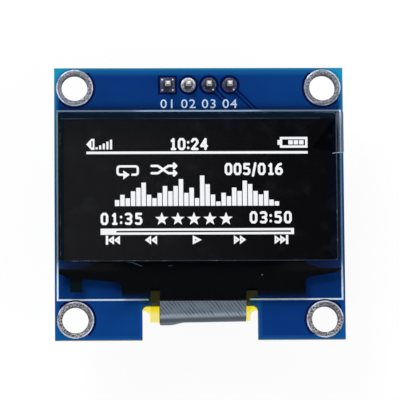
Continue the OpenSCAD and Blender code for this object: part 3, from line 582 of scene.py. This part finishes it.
def polyimide_material():
    """Thin amber film: light from behind comes through it in yellow, deeper close to the notch's edge, where
    the deeper tint is painted shade for the dimmer light behind it. A painted shadow darkens its front
    between the notch's edge and the glass. Its tail on the board's back carries a track to each contact
    finger."""
    s = Shader("yellow_polyimide")
    x, y, z = s.axes()
    front = s.ramp(z, FOLD_Z, FOLD_Z + 0.2)
    # Painted shade: the tint deepens close to the notch's edge, for the dimmer light behind it there.
    depth = s.ramp(y, NOTCH_Y - 1.1, NOTCH_Y - 0.1)
    tint = s.blend(depth, (0.998, 0.962, 0.7, 1.0), (0.97, 0.915, 0.26, 1.0))
    bonded = front * s.ramp(y, GLASS_LOW.y + 1.15, GLASS_LOW.y + 1.25)
    clear = s.node("BsdfTransparent", Color=s.blend(bonded, tint, (0.3, 0.3, 0.3, 1.0))).outputs[0]
    grain = s.noise(0.8, 3.0)
    shaded = front * s.ramp(y, NOTCH_Y - 0.1, NOTCH_Y + 0.1)
    shaded = shaded * (1 - s.ramp(y, GLASS_LOW.y - 0.05, GLASS_LOW.y + 0.05))
    speckle = s.ramp(s.noise(0.3, 4.0), 0.4, 0.65)
    colour = s.blend(grain, (206, 190, 120), (226, 214, 150))
    colour = s.blend(shaded, colour, (176, 132, 168))
    colour = s.blend(bonded, colour, (60, 60, 60))
    tail = (1 - front) * s.ramp(y, NOTCH_Y, NOTCH_Y + 0.3)
    tracks = s.math("COSINE", x * (math.tau / FINGER_PITCH))
    amber = s.blend(s.ramp(tracks, -0.5, 0.3), (196, 132, 30), (150, 92, 26))
    colour = s.blend(tail, colour, amber)
    body = s.principled(colour, s.between(grain, 0.3, 0.45), shine=GLASS_SHINE)
    share = s.largest(0.024 + shaded * speckle * 0.05, tail * 0.8)
    return s.finish(s.mix(share, clear, body))


def cover_material():
    """Grey cover film over slanted copper tracks, which show through as darker lines on its front. It is
    smoother towards the fold, with a light band as a painted highlight, a dark one under it as painted shade,
    and grey again where it turns under."""
    s = Shader("grey_cover")
    x, y, z = s.axes()
    slant = x * SLANT[0] + y * SLANT[1]
    wander = s.noise(0.9, 3.0) * 0.26
    phase = (slant + wander) / SLANT_PITCH
    wave = s.math("SINE", phase * math.tau)
    lines = s.ramp(wave, -0.3, 0.9)
    strength = s.between(s.ramp(s.noise(1.0, 3.0), 0.35, 0.62), 0.25, 1.0)
    fade = s.ramp(y, FOLD_Y - 0.75, FOLD_Y - 0.1)
    lines = lines * strength * fade
    grain = s.noise(0.25, 4.0, 0.6)
    colour = s.blend(grain, (86, 98, 112), (114, 126, 138))
    colour = s.blend(lines * 0.8, colour, (44, 52, 68))
    front = s.ramp(z, FOLD_Z - 0.1, FOLD_Z)
    level = y - x * 0.025
    # Painted highlight: a light band across the fold's front, fainter over the track lines.
    light = 1 - s.ramp(abs(level - (FOLD_Y - 0.3)), 0.0, 0.4)
    light = light * s.between(lines, 0.62, 0.2)
    colour = s.blend(light * front, colour, (164, 176, 188))
    # Painted shade: a dark band under the light one, where the fold turns away and down.
    dark = 1 - s.ramp(abs(level - (FOLD_Y - 0.82)), 0.08, 0.36)
    colour = s.blend(dark * front * 0.85, colour, (66, 74, 82))
    relief = s.bump(grain, 0.01, 0.4)
    return s.paint(colour, s.between(grain, 0.35, 0.5), Normal=relief, shine=0.35)


# ---- Building meshes ----

def linked(name, data):
    """A new object in the scene."""
    thing = bpy.data.objects.new(name, data)
    bpy.context.scene.collection.objects.link(thing)
    return thing


def riding(name, mesh, material):
    """A new piece of the object, riding on its one body."""
    mesh.materials.clear()
    mesh.materials.append(material)
    piece = linked(name, mesh)
    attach(piece, "root")
    return piece


def made(name, vertices, faces, material, smooth=False):
    """A piece made from its points and faces."""
    mesh = bpy.data.meshes.new(name)
    mesh.from_pydata([tuple(number * MM for number in vertex) for vertex in vertices], [], faces)
    mesh.update()
    for face in mesh.polygons:
        face.use_smooth = smooth
    return riding(name, mesh, material)


def from_curve(name, curve, placing, material):
    """A piece made from a filled curve, which placing moves or stretches."""
    scratch = linked(name + "_outline", curve)
    bpy.context.view_layer.update()
    mesh = bpy.data.meshes.new_from_object(scratch.evaluated_get(bpy.context.evaluated_depsgraph_get()))
    bpy.data.objects.remove(scratch)
    bpy.data.curves.remove(curve)
    mesh.transform(placing)
    mesh.name = name
    return riding(name, mesh, material)


def circle(x, y, radius, start=0.0, end=360.0):
    """Points on an arc, from start to end in degrees, 48 to a whole turn."""
    span = end - start
    count = max(2, round(48 * span / 360))
    angles = [math.radians(start + span * i / count) for i in range(count + (span < 360))]
    return [(x + radius * math.cos(a), y + radius * math.sin(a)) for a in angles]


def plate(name, loops, low, high, material):
    """A flat plate between two heights. Its first loop is the outline, the others are holes in it."""
    curve = bpy.data.curves.new(name, "CURVE")
    curve.dimensions = "2D"
    curve.fill_mode = "BOTH"
    curve.extrude = (high - low) / 2 * MM
    for loop in loops:
        spline = curve.splines.new("POLY")
        spline.points.add(len(loop) - 1)
        for point, (x, y) in zip(spline.points, loop):
            point.co = (x * MM, y * MM, 0, 1)
        spline.use_cyclic_u = True
    return from_curve(name, curve, Matrix.Translation((0, 0, (low + high) / 2 * MM)), material)


def ribbon(points, width):
    """The outline of a flat line of that width through the points, with mitred bends."""
    left, right = [], []
    for i, point in enumerate(points):
        before = Vector(points[max(i - 1, 0)])
        after = Vector(points[min(i + 1, len(points) - 1)])
        here = Vector(point)
        first = (here - before).normalized() if i > 0 else (after - here).normalized()
        second = (after - here).normalized() if i < len(points) - 1 else first
        across = Vector((-(first.y + second.y), first.x + second.x)).normalized()
        half = width / 2 / max(0.5, across.dot(Vector((-first.y, first.x))))
        left.append(tuple(here + across * half))
        right.append(tuple(here - across * half))
    return left + right[::-1]


def block(name, low, high, bevel, material):
    """A box with its edges rounded."""
    corners = [(x, y, z) for x in (low[0], high[0]) for y in (low[1], high[1]) for z in (low[2], high[2])]
    faces = [(0, 1, 3, 2), (4, 6, 7, 5), (0, 4, 5, 1), (2, 3, 7, 6), (0, 2, 6, 4), (1, 5, 7, 3)]
    piece = made(name, corners, faces, material)
    shape = bmesh.new()
    shape.from_mesh(piece.data)
    bmesh.ops.bevel(shape, geom=shape.edges[:], offset=bevel * MM, segments=3, profile=0.5, affect="EDGES")
    shape.to_mesh(piece.data)
    shape.free()
    for face in piece.data.polygons:
        face.use_smooth = True
    return piece


def dress(material, *nodes):
    """Gives CAD nodes their material."""
    for node in nodes:
        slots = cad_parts[node].data.materials
        slots.clear()
        slots.append(material)


# ---- Copper under the mask ----

def pour_outline():
    """The pour's edge: inset from the board's outline, round the four rings and round the notch."""
    x_edge = BOARD_HIGH.x - POUR_INSET
    y_edge = BOARD_HIGH.y - POUR_INSET
    clear = RING_R + RING_CLEAR
    hole_x, hole_y = abs(HOLES[0].x), abs(HOLES[0].y)
    along_x = math.degrees(math.acos((x_edge - hole_x) / clear))
    along_y = math.degrees(math.asin((y_edge - hole_y) / clear))
    notch_x = NOTCH_HALF + POUR_INSET
    notch_y = NOTCH_Y + POUR_INSET
    points = circle(hole_x, hole_y, clear, 180 - along_y, 360 - along_x)
    points += circle(hole_x, -hole_y, clear, along_x, 180 + along_y)
    points += [(notch_x, -y_edge), (notch_x, notch_y), (-notch_x, notch_y), (-notch_x, -y_edge)]
    points += circle(-hole_x, -hole_y, clear, -along_y, 180 - along_x)
    points += circle(-hole_x, hole_y, clear, 180 + along_x, 360 + along_y)
    return points


def keyhole(route, radius, width):
    """The clearance round the land where a track's route starts, and along the track."""
    first = Vector(route[1]) - Vector(route[0])
    heading = math.degrees(math.atan2(first.y, first.x))
    opening = math.degrees(math.asin(width / 2 / radius))
    body = circle(*route[0], radius, heading + opening, heading + 360 - opening)
    slot = ribbon(route, width)
    half = len(route)
    left, right = slot[:half], slot[half:]
    return body + right[::-1][1:] + left[::-1][:-1]


def signal_routes():
    """Tracks that leave the last two lands at 45 degrees and run under the panel."""
    routes = []
    for pin, run in zip(PINS[2:], TRACK_RUNS):
        bend = (pin.x + run, pin.y - run)
        routes.append([(pin.x, pin.y), bend, (bend[0], bend[1] - 4)])
    return routes


def front_copper(material):
    """The pour with its clearances, and the two tracks in them."""
    clear = LAND_R + LAND_CLEAR
    half = clear - 0.06
    x, y = PINS[0].x, PINS[0].y
    loops = [pour_outline()]
    loops.append([(x - half, y - half), (x + half, y - half), (x + half, y + half), (x - half, y + half)])
    loops.append(circle(PINS[1].x, PINS[1].y, clear))
    loops += [keyhole(route, clear, TRACK_W + 2 * TRACK_CLEAR) for route in signal_routes()]
    pour = plate("front_pour", loops, BOARD_HIGH.z, COPPER_TOP, material)
    for number, route in enumerate(signal_routes(), 3):
        start = Vector(route[0]) + (Vector(route[1]) - Vector(route[0])).normalized() * LAND_R
        line = ribbon([tuple(start)] + route[1:], TRACK_W)
        track = plate(f"front_track_{number}", [line], BOARD_HIGH.z, COPPER_TOP, material)


# ---- Figures ----

# Each figure as strokes on a grid 4 wide and 6 high, rows counted downwards
STROKES = {
    "0": [[(1, 0), (3, 0), (4, 1.2), (4, 4.8), (3, 6), (1, 6), (0, 4.8), (0, 1.2), (1, 0)]],
    "1": [[(1, 1), (2.2, 0), (2.2, 6)], [(1, 6), (3.4, 6)]],
    "2": [[(0, 1.2), (1, 0), (3, 0), (4, 1.2), (4, 2.2), (0, 6), (4, 6)]],
    "3": [[(0.2, 0.3), (1, 0), (3, 0), (4, 1), (4, 2), (3, 3), (1.6, 3)],
          [(3, 3), (4, 4), (4, 5), (3, 6), (1, 6), (0.2, 5.7)]],
    "4": [[(3.2, 6), (3.2, 0), (0, 4.2), (4.2, 4.2)]],
    "5": [[(3.8, 0), (0.5, 0), (0.5, 2.5), (3, 2.5), (4, 3.5), (4, 5), (3, 6), (1, 6), (0.2, 5.7)]],
    "6": [[(3.4, 0), (1.8, 0.3), (0, 2.6), (0, 5), (1, 6), (3, 6), (4, 5), (4, 3.7), (3, 2.7), (0.6, 2.9)]],
    ":": [[(0, 1.8), (0, 2)], [(0, 5.2), (0, 5.4)]],
    "/": [[(0, 7), (1.8, -0.4)]],
}
# What a step of that grid measures, and a stroke's width, in pixels of the screen
FIGURE_W, FIGURE_H = 0.76, 0.94
STROKE = 1.4
COLUMNS, ROWS = 128, 64
# Steps to a pixel at which the figures' outlines are worked out
FINE = 6


def figure_strokes(words, column, row, width):
    """Strokes of a text in pixel columns and rows; the text fills the width with even gaps."""
    wide = {c: max(x for stroke in STROKES[c] for x, _ in stroke) * FIGURE_W for c in words}
    gap = (width - STROKE - sum(wide[c] for c in words)) / (len(words) - 1)
    left, top = column + STROKE / 2, row + STROKE / 2
    found = []
    for c in words:
        found += [[(left + x * FIGURE_W, top + y * FIGURE_H) for x, y in stroke] for stroke in STROKES[c]]
        left += wide[c] + gap
    return found


def shuffle_sign(left, top, width, height):
    """Two crossing arrows."""
    right, low = left + width, top + height
    first, second = left + 0.25 * width, left + 0.68 * width
    head = 0.3 * height
    strokes = [[(left, top), (first, top), (second, low), (right, low)],
               [(left, low), (first, low), (second, top), (right, top)]]
    strokes += [[(right - head, y - head), (right, y), (right - head, y + head)] for y in (top, low)]
    return strokes


def stroke_field(strokes):
    """How far inside the strokes each point of a fine grid lies, in pixels; negative outside."""
    field = np.full((ROWS * FINE + 1, COLUMNS * FINE + 1), -1.0)
    for stroke in strokes:
        for (ax, ay), (bx, by) in zip(stroke, stroke[1:]):
            low_x, high_x = max(int((min(ax, bx) - 2) * FINE), 0), int((max(ax, bx) + 2) * FINE) + 1
            low_y, high_y = max(int((min(ay, by) - 2) * FINE), 0), int((max(ay, by) + 2) * FINE) + 1
            ys, xs = np.mgrid[low_y:high_y, low_x:high_x] / FINE
            length = max((bx - ax) ** 2 + (by - ay) ** 2, 1e-9)
            share = np.clip(((xs - ax) * (bx - ax) + (ys - ay) * (by - ay)) / length, 0, 1)
            gap = np.hypot(xs - ax - share * (bx - ax), ys - ay - share * (by - ay))
            part = field[low_y:high_y, low_x:high_x]
            np.maximum(part, (STROKE / 2 - gap)[:part.shape[0], :part.shape[1]], out=part)
    return field


def screen_figures(material):
    """The clock, the counter, the two times and the shuffle sign, as flat rounded shapes on the polariser."""
    pixel = (LIT_HIGH.x - LIT_LOW.x) / (COLUMNS - 1)
    left, top = LIT_LOW.x - 0.4 * pixel, LIT_HIGH.y + 0.1 * pixel
    strokes = shuffle_sign(37.8, 16.7, 14, 4.2)
    strokes += figure_strokes("10:24", 48.0, 0.6, 22.2)
    strokes += figure_strokes("005/016", 79.6, 15.1, 33.4)
    strokes += figure_strokes("01:35", 8.4, 43.6, 23.9)
    strokes += figure_strokes("03:50", 93.7, 43.0, 24.1)
    field = stroke_field(strokes)
    height = FILM_LOW.z + 0.004
    vertices, faces, index = [], [], {}

    def vertex(c, r):
        key = (round(c, 4), round(r, 4))
        if key not in index:
            index[key] = len(vertices)
            vertices.append((left + c / FINE * pixel, top - r / FINE * pixel, height))
        return index[key]

    near = np.argwhere(field > -2 / FINE)
    cells = {(r + dr, c + dc) for r, c in near for dr in (0, -1) for dc in (0, -1)}
    for r, c in sorted(cells):
        if r < 0 or c < 0 or r + 1 >= field.shape[0] or c + 1 >= field.shape[1]:
            continue
        corners = [(c, r), (c, r + 1), (c + 1, r + 1), (c + 1, r)]
        values = [field[b, a] for a, b in corners]
        ring = []
        for i in range(4):
            (ax, ay), (bx, by) = corners[i], corners[(i + 1) % 4]
            va, vb = values[i], values[(i + 1) % 4]
            if va > 0:
                ring.append(vertex(ax, ay))
            if (va > 0) != (vb > 0):
                share = va / (va - vb)
                ring.append(vertex(ax + (bx - ax) * share, ay + (by - ay) * share))
        if len(ring) >= 3:
            faces.append(ring)
    piece = made("screen_figures", vertices, faces, material)


def printed_number(words, pin, material):
    """Flat printed figures in the built-in typeface, under a pin."""
    curve = bpy.data.curves.new(f"pin_number_{words}", "FONT")
    curve.body = words
    curve.align_x = "CENTER"
    curve.size = NUMBER_SIZE * MM
    curve.space_character = 1.15
    curve.offset = 0.008 * MM
    curve.extrude = INK_T / 2 * MM
    curve.resolution_u = 4
    place = Vector((pin.x, pin.y - NUMBER_BELOW, COPPER_TOP + INK_T / 2)) * MM
    wider = Matrix.Diagonal((1.12, 1, 1, 1))
    piece = from_curve(f"pin_number_{words}", curve, Matrix.Translation(place) @ wider, material)


# ---- The folded lead ----

FOLD_STEPS = 28


def fold_reach(x):
    """How far the fold's outermost line lies from its plain place, at a place across the lead. The stiff
    cover pushes it out at the left, and it rises a little towards the right."""
    across = x - COVER_LOW.x
    share = across / (COVER_HIGH.x - COVER_LOW.x)
    bulge = min(1.0, max(0.0, (across - 1.2) / 1.9))
    bulge = 1 - bulge * bulge * (3 - 2 * bulge)
    under_cover = 1 / (1 + math.exp(-across / 0.04))
    return FOLD_OUT + FOLD_RISE * share - FOLD_BULGE * bulge * under_cover


def lead_path(x, offset, front_end, back_end, back_steps=8):
    """Points down the front, round the fold and up the back, at one place across the lead. offset is how far
    the surface lies outside the lead's outer face."""
    fold_y = FOLD_Y + fold_reach(x)
    radius = FOLD_R + offset
    points = [(front_end + (fold_y - front_end) * i / 8, FOLD_Z + radius) for i in range(8)]
    for i in range(FOLD_STEPS + 1):
        angle = math.radians(90 + 180 * i / FOLD_STEPS)
        points.append((fold_y + radius * math.cos(angle), FOLD_Z + radius * math.sin(angle)))
    step = (back_end - fold_y) / back_steps
    points += [(fold_y + step * i, FOLD_Z - radius) for i in range(1, back_steps + 1)]
    return points


def cover_ridge(x, y, z):
    """Height of the ridges over the slanted tracks in the lead, at most 1."""
    along = y if z > FOLD_Z else 2 * FOLD_Y - y
    phase = (x * SLANT[0] + along * SLANT[1]) / SLANT_PITCH
    fade = min(1.0, max(0.0, (z - 0.6) / 1.2))
    return fade * (0.5 + 0.5 * math.sin(phase * math.tau))


def skin(name, rows_outer, rows_inner, material):
    """A closed sheet from two equal grids of points, the outer and the inner surface."""
    across, along = len(rows_outer), len(rows_outer[0])
    vertices = [p for row in rows_outer for p in row] + [p for row in rows_inner for p in row]
    shift = across * along
    faces = []
    for i in range(across - 1):
        for j in range(along - 1):
            a, b = i * along + j, (i + 1) * along + j
            faces.append((a, a + 1, b + 1, b))
            faces.append((a + shift, b + shift, b + 1 + shift, a + 1 + shift))
    for j in range(along - 1):
        a, b = j, (across - 1) * along + j
        faces.append((a, a + shift, a + 1 + shift, a + 1))
        faces.append((b, b + 1, b + 1 + shift, b + shift))
    for i in range(across - 1):
        a, b = i * along, (i + 1) * along
        faces.append((a, b, b + shift, a + shift))
        a, b = a + along - 1, b + along - 1
        faces.append((a, a + shift, b + shift, b))
    return made(name, vertices, faces, material, True)


def folded_cover(material):
    """The grey cover layer with a ridge over each track."""
    columns = 300
    outer, inner = [], []
    for i in range(columns + 1):
        x = COVER_LOW.x + (COVER_HIGH.x - COVER_LOW.x) * i / columns
        base, raised = (lead_path(x, offset, GLASS_LOW.y - 0.05, NOTCH_Y + COVER_PAST)
                        for offset in (0.0, COVER_T))
        lifted = []
        for (y0, z0), (y1, z1) in zip(base, raised):
            lift = cover_ridge(x, y1, z1) * COVER_RIDGE
            lifted.append((x, y1 + (y1 - y0) * lift, z1 + (z1 - z0) * lift))
        outer.append(lifted)
        inner.append([(x, y, z) for y, z in base])
    piece = skin("folded_cover", outer, inner, material)
    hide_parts("flex_cover")


def lead_half(y, z):
    """Half the lead's width. On the back it flares out in a quarter circle that ends short of the notch."""
    if z > FOLD_Z:
        return LEAD_HALF
    rise = min(1.0, max(0.0, (y - FLARE_END + FLARE_R) / FLARE_R))
    return LEAD_HALF + FLARE_R * (1 - math.sqrt(1 - rise * rise))


def folded_lead(material):
    """The amber film: bonded end, fold and the tail that widens on the board's back."""
    bond_end = GLASS_LOW.y + LEAD_BOND
    widest = LEAD_HALF + FLARE_R
    columns = 120
    outer, inner = [], []
    for i in range(columns + 1):
        share = -1 + 2 * i / columns
        for offset, rows in ((0.0, outer), (-LEAD_T, inner)):
            path = lead_path(share * LEAD_HALF, offset, bond_end, FLARE_END, 24)
            row = [(share * lead_half(y, z), y, z) for y, z in path]
            z = row[-1][2]
            row += [(share * widest, NOTCH_Y, z), (share * LEAD_HIGH.x, NOTCH_Y + 0.001, z)]
            row.append((share * LEAD_HIGH.x, TAIL_END, z))
            rows.append(row)
    piece = skin("folded_lead", outer, inner, material)
    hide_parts("flex_lead")
    ear_low = (LEAD_HALF, GLASS_LOW.y + 0.4, LEAD_HIGH.z - LEAD_T)
    ear_high = (LEAD_HALF + EAR_W, bond_end, LEAD_HIGH.z)
    ear = block("lead_ear", ear_low, ear_high, 0.02, material)


# ---- Chip parts on the back ----

CHIP_END = 0.35
CHIP_STEP = 0.02


def chip(node, body_material, metal):
    """A chip part: a rounded body between two metal ends."""
    low, high = box(node)
    long_axis = 0 if high.x - low.x > high.y - low.y else 1
    inset = Vector([CHIP_END * 0.8 if axis == long_axis else CHIP_STEP for axis in range(3)])
    body = block(node + "_body", low + inset, high - inset, 0.03, body_material)
    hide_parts(node)
    for number, place in ((1, low[long_axis]), (2, high[long_axis] - CHIP_END)):
        end_low, end_high = Vector(low), Vector(high)
        end_low[long_axis] = place
        end_high[long_axis] = place + CHIP_END
        cap = block(f"{node}_end_{number}", end_low, end_high, 0.05, metal)


# ---- Edges and marks on the panel ----

def polariser_rim(material):
    """A thin flat frame along the polariser's rounded edge, which carries the edge's painted glints."""
    def outline(inset):
        r = POLARISER_CORNER - inset
        x0, x1 = POLARISER_LOW.x + inset + r, POLARISER_HIGH.x - inset - r
        y0, y1 = POLARISER_LOW.y + inset + r, POLARISER_HIGH.y - inset - r
        return (circle(x0, y0, r, 180, 270) + circle(x1, y0, r, 270, 360)
                + circle(x1, y1, r, 0, 90) + circle(x0, y1, r, 90, 180))
    loops = [outline(0), outline(RIM_W)]
    piece = plate("polariser_rim", loops, FILM_LOW.z, FILM_LOW.z + 0.01, material)


def small_marks(bright, faint):
    """A painted highlight along the lower edge of the pull tab, two faint streaks along the polariser's lower
    edge and a speck.
    """
    # tab_edge is a painted highlight on the pull tab's lower edge.
    marks = [("tab_edge", FILM_HIGH.z + 0.001, 0.07, bright, [(16.2, 5.88), (16.7, 5.95), (17.62, 6.02)]),
             ("smear_1", GLASS_HIGH.z, 0.09, faint, [(-8.9, -7.3), (-8.2, -7.42), (-7.1, -7.85)]),
             ("smear_2", GLASS_HIGH.z, 0.06, faint, [(-3.95, -7.84), (-3.4, -7.78)]),
             ("speck", GLASS_HIGH.z, 0.08, bright, [(7.42, -8.95), (7.52, -8.95)])]
    for name, low, width, material, points in marks:
        piece = plate(name, [ribbon(points, width)], low, low + MARK_T, material)


# ---- Floor, lamps and camera ----

CAMERA_TILT = math.radians(-6.735)
CAMERA_LEAN = math.radians(2.451)
CAMERA_ROLL = math.radians(0.196)
CAMERA_TARGET = Vector((0.11, 0.54, 0))
CAMERA_DISTANCE = 420
CAMERA_LENS = 308.6


def add_camera():
    data = bpy.data.cameras.new("camera")
    data.lens = CAMERA_LENS
    data.sensor_width = 36
    camera = linked("camera", data)
    view = (Matrix.Rotation(CAMERA_ROLL, 3, "Z") @ Matrix.Rotation(CAMERA_LEAN, 3, "Y")
            @ Matrix.Rotation(CAMERA_TILT, 3, "X"))
    to_world = view.transposed()
    place = (CAMERA_TARGET + to_world @ Vector((0, 0, CAMERA_DISTANCE))) * MM
    camera.matrix_world = Matrix.Translation(place) @ to_world.to_4x4()
    bpy.context.scene.camera = camera


def camera_white(s, strength, other):
    """White for what the camera sees, directly or through glass, and another shader for the light."""
    path = s.node("LightPath").outputs
    seen = s.largest(path["Is Camera Ray"], path["Is Transmission Ray"])
    white = s.node("Emission", Color=(255, 255, 255), Strength=strength).outputs[0]
    return s.mix(seen, other, white)


def add_floor():
    """A white floor at the pins' ends that keeps a light shadow. It reaches 1.5 m each way."""
    reach, height = 1.5, PIN_LOW.z * MM
    mesh = bpy.data.meshes.new("floor")
    corners = ((-reach, -reach), (reach, -reach), (reach, reach), (-reach, reach))
    mesh.from_pydata([(x, y, height) for x, y in corners], [], [(0, 1, 2, 3)])
    floor = linked("floor", mesh)
    s = Shader("floor")
    grain = s.node("TexNoise", Scale=40).outputs["Fac"]
    diffuse = s.node("BsdfDiffuse", Color=s.between(grain, 0.86, 0.9)).outputs[0]
    mesh.materials.append(s.finish(s.mix(0.12, camera_white(s, 1.03, diffuse), diffuse)))


def add_lamp(name, place, size, power):
    """A lamp over a rectangle, turned towards the object; its place and size are in metres."""
    data = bpy.data.lights.new(name, "AREA")
    data.shape = "RECTANGLE"
    data.size, data.size_y = size
    data.energy = power
    lamp = linked(name, data)
    turn = (-Vector(place)).to_track_quat("-Z", "Y").to_matrix()
    lamp.matrix_world = Matrix.Translation(place) @ turn.to_4x4()


def add_world():
    """A pale studio: white to the camera, darker straight overhead where the glass mirrors it."""
    s = Shader("studio", "World")
    height = s.parts(s.node("TexCoord").outputs["Generated"])[2]
    strength = s.ramp(height, 0.6, 0.95, 0.85, 0.04)
    light = s.node("Background", Color=(0.97, 0.98, 1.0, 1.0), Strength=strength).outputs[0]
    bpy.context.scene.world = s.finish(camera_white(s, 1.0, light))


# ---- The whole object ----

def dress_nodes(tin, black, lit, label_ink):
    """Gives every CAD node that keeps its own shape a material."""
    dress(bare_mask_material(), "pcb")
    dress(ring_material(), *numbered("hole_plating", 4))
    dress(land_material(), "header_pads", *numbered("solder_joint", 4))
    dress(tin, "regulator_legs", "diode_legs", "lead_lands", "part_lands")
    dress(black, "header_base", "regulator_body", "diode_body")
    dress(pin_material(), *numbered("pin", 4))
    dress(tin_material("solder", (226, 228, 232), (170, 172, 178), 0.5, 0.02, (0.12, 0.3)),
          "part_solder", "lead_solder")
    # The white ink in the open, then in painted shade beside the glasses' left side, top and right side.
    dress(ink_material("white_ink", (226, 244, 255), (134, 154, 150), (118, 136, 158), (126, 166, 200)),
          "front_print")
    dress(label_ink, "back_print")
    dress(foam_material(), *numbered("foam_strip", 2))
    dress(glass_material(), "front_glass", "back_glass")
    dress(plain_material("seal_bead", (8, 30, 50), (11, 38, 60), 0.3, (0.3, 0.5)), "glass_seal")
    dress(plain_material("emitter", (12, 12, 14), (18, 18, 21), 0.4, (0.2, 0.3)), "emitting_layer")
    dress(polariser_material(), "polariser")
    dress(film_material(), "protective_film")
    dress(lit, "lit_graphics")
    dress(tracks_material(), "glass_tracks")
    dress(plain_material("silicon", (70, 72, 80), (88, 90, 98), 0.6, (0.15, 0.25), 0.6), "driver_chip")
    dress(plain_material("black_resin", (14, 14, 15), (24, 24, 25), 0.5, (0.2, 0.35)), "chip_resin")
    dress(plain_material("gilt_copper", (214, 170, 84), (232, 196, 116), 0.2, (0.2, 0.35), 1.0),
          "flex_fingers")


def main():
    tin = tin_material("tinned_copper", (206, 208, 214), (150, 150, 156), 0.3, 0.02)
    label_ink = ink_material("label_ink", *[(208, 228, 246)] * 4)
    lit = lit_material()
    dress_nodes(tin, moulding_material(), lit, label_ink)
    ceramic = plain_material("chip_ceramic", (150, 122, 92), (172, 142, 110), 0.1, (0.4, 0.55))
    glaze = plain_material("resistor_coating", (22, 22, 24), (34, 34, 38), 0.1, (0.25, 0.4))
    for node in numbered("capacitor", 8):
        chip(node, ceramic, tin)
    for node in numbered("resistor", 8):
        chip(node, glaze, tin)
    front_copper(copper_mask_material())
    screen_figures(lit)
    for words, pin in zip(("01", "02", "03", "04"), PINS):
        printed_number(words, pin, label_ink)
    folded_lead(polyimide_material())
    folded_cover(cover_material())
    polariser_rim(film_edge_material())
    small_marks(plain_material("bright_mark", (120, 132, 150), (206, 214, 226), 0.6, (0.4, 0.5)),
                plain_material("faint_mark", (12, 16, 24), (70, 86, 106), 0.2, (0.4, 0.5)))
    add_floor()
    add_lamp("key", (-0.28, 0.5, 0.5), (0.4, 0.25), 3.4)
    add_lamp("fill", (0.5, -0.2, 0.45), (0.4, 0.3), 1.4)
    add_world()
    add_camera()


main()

scene = bpy.context.scene
scene.view_settings.view_transform = "Standard"
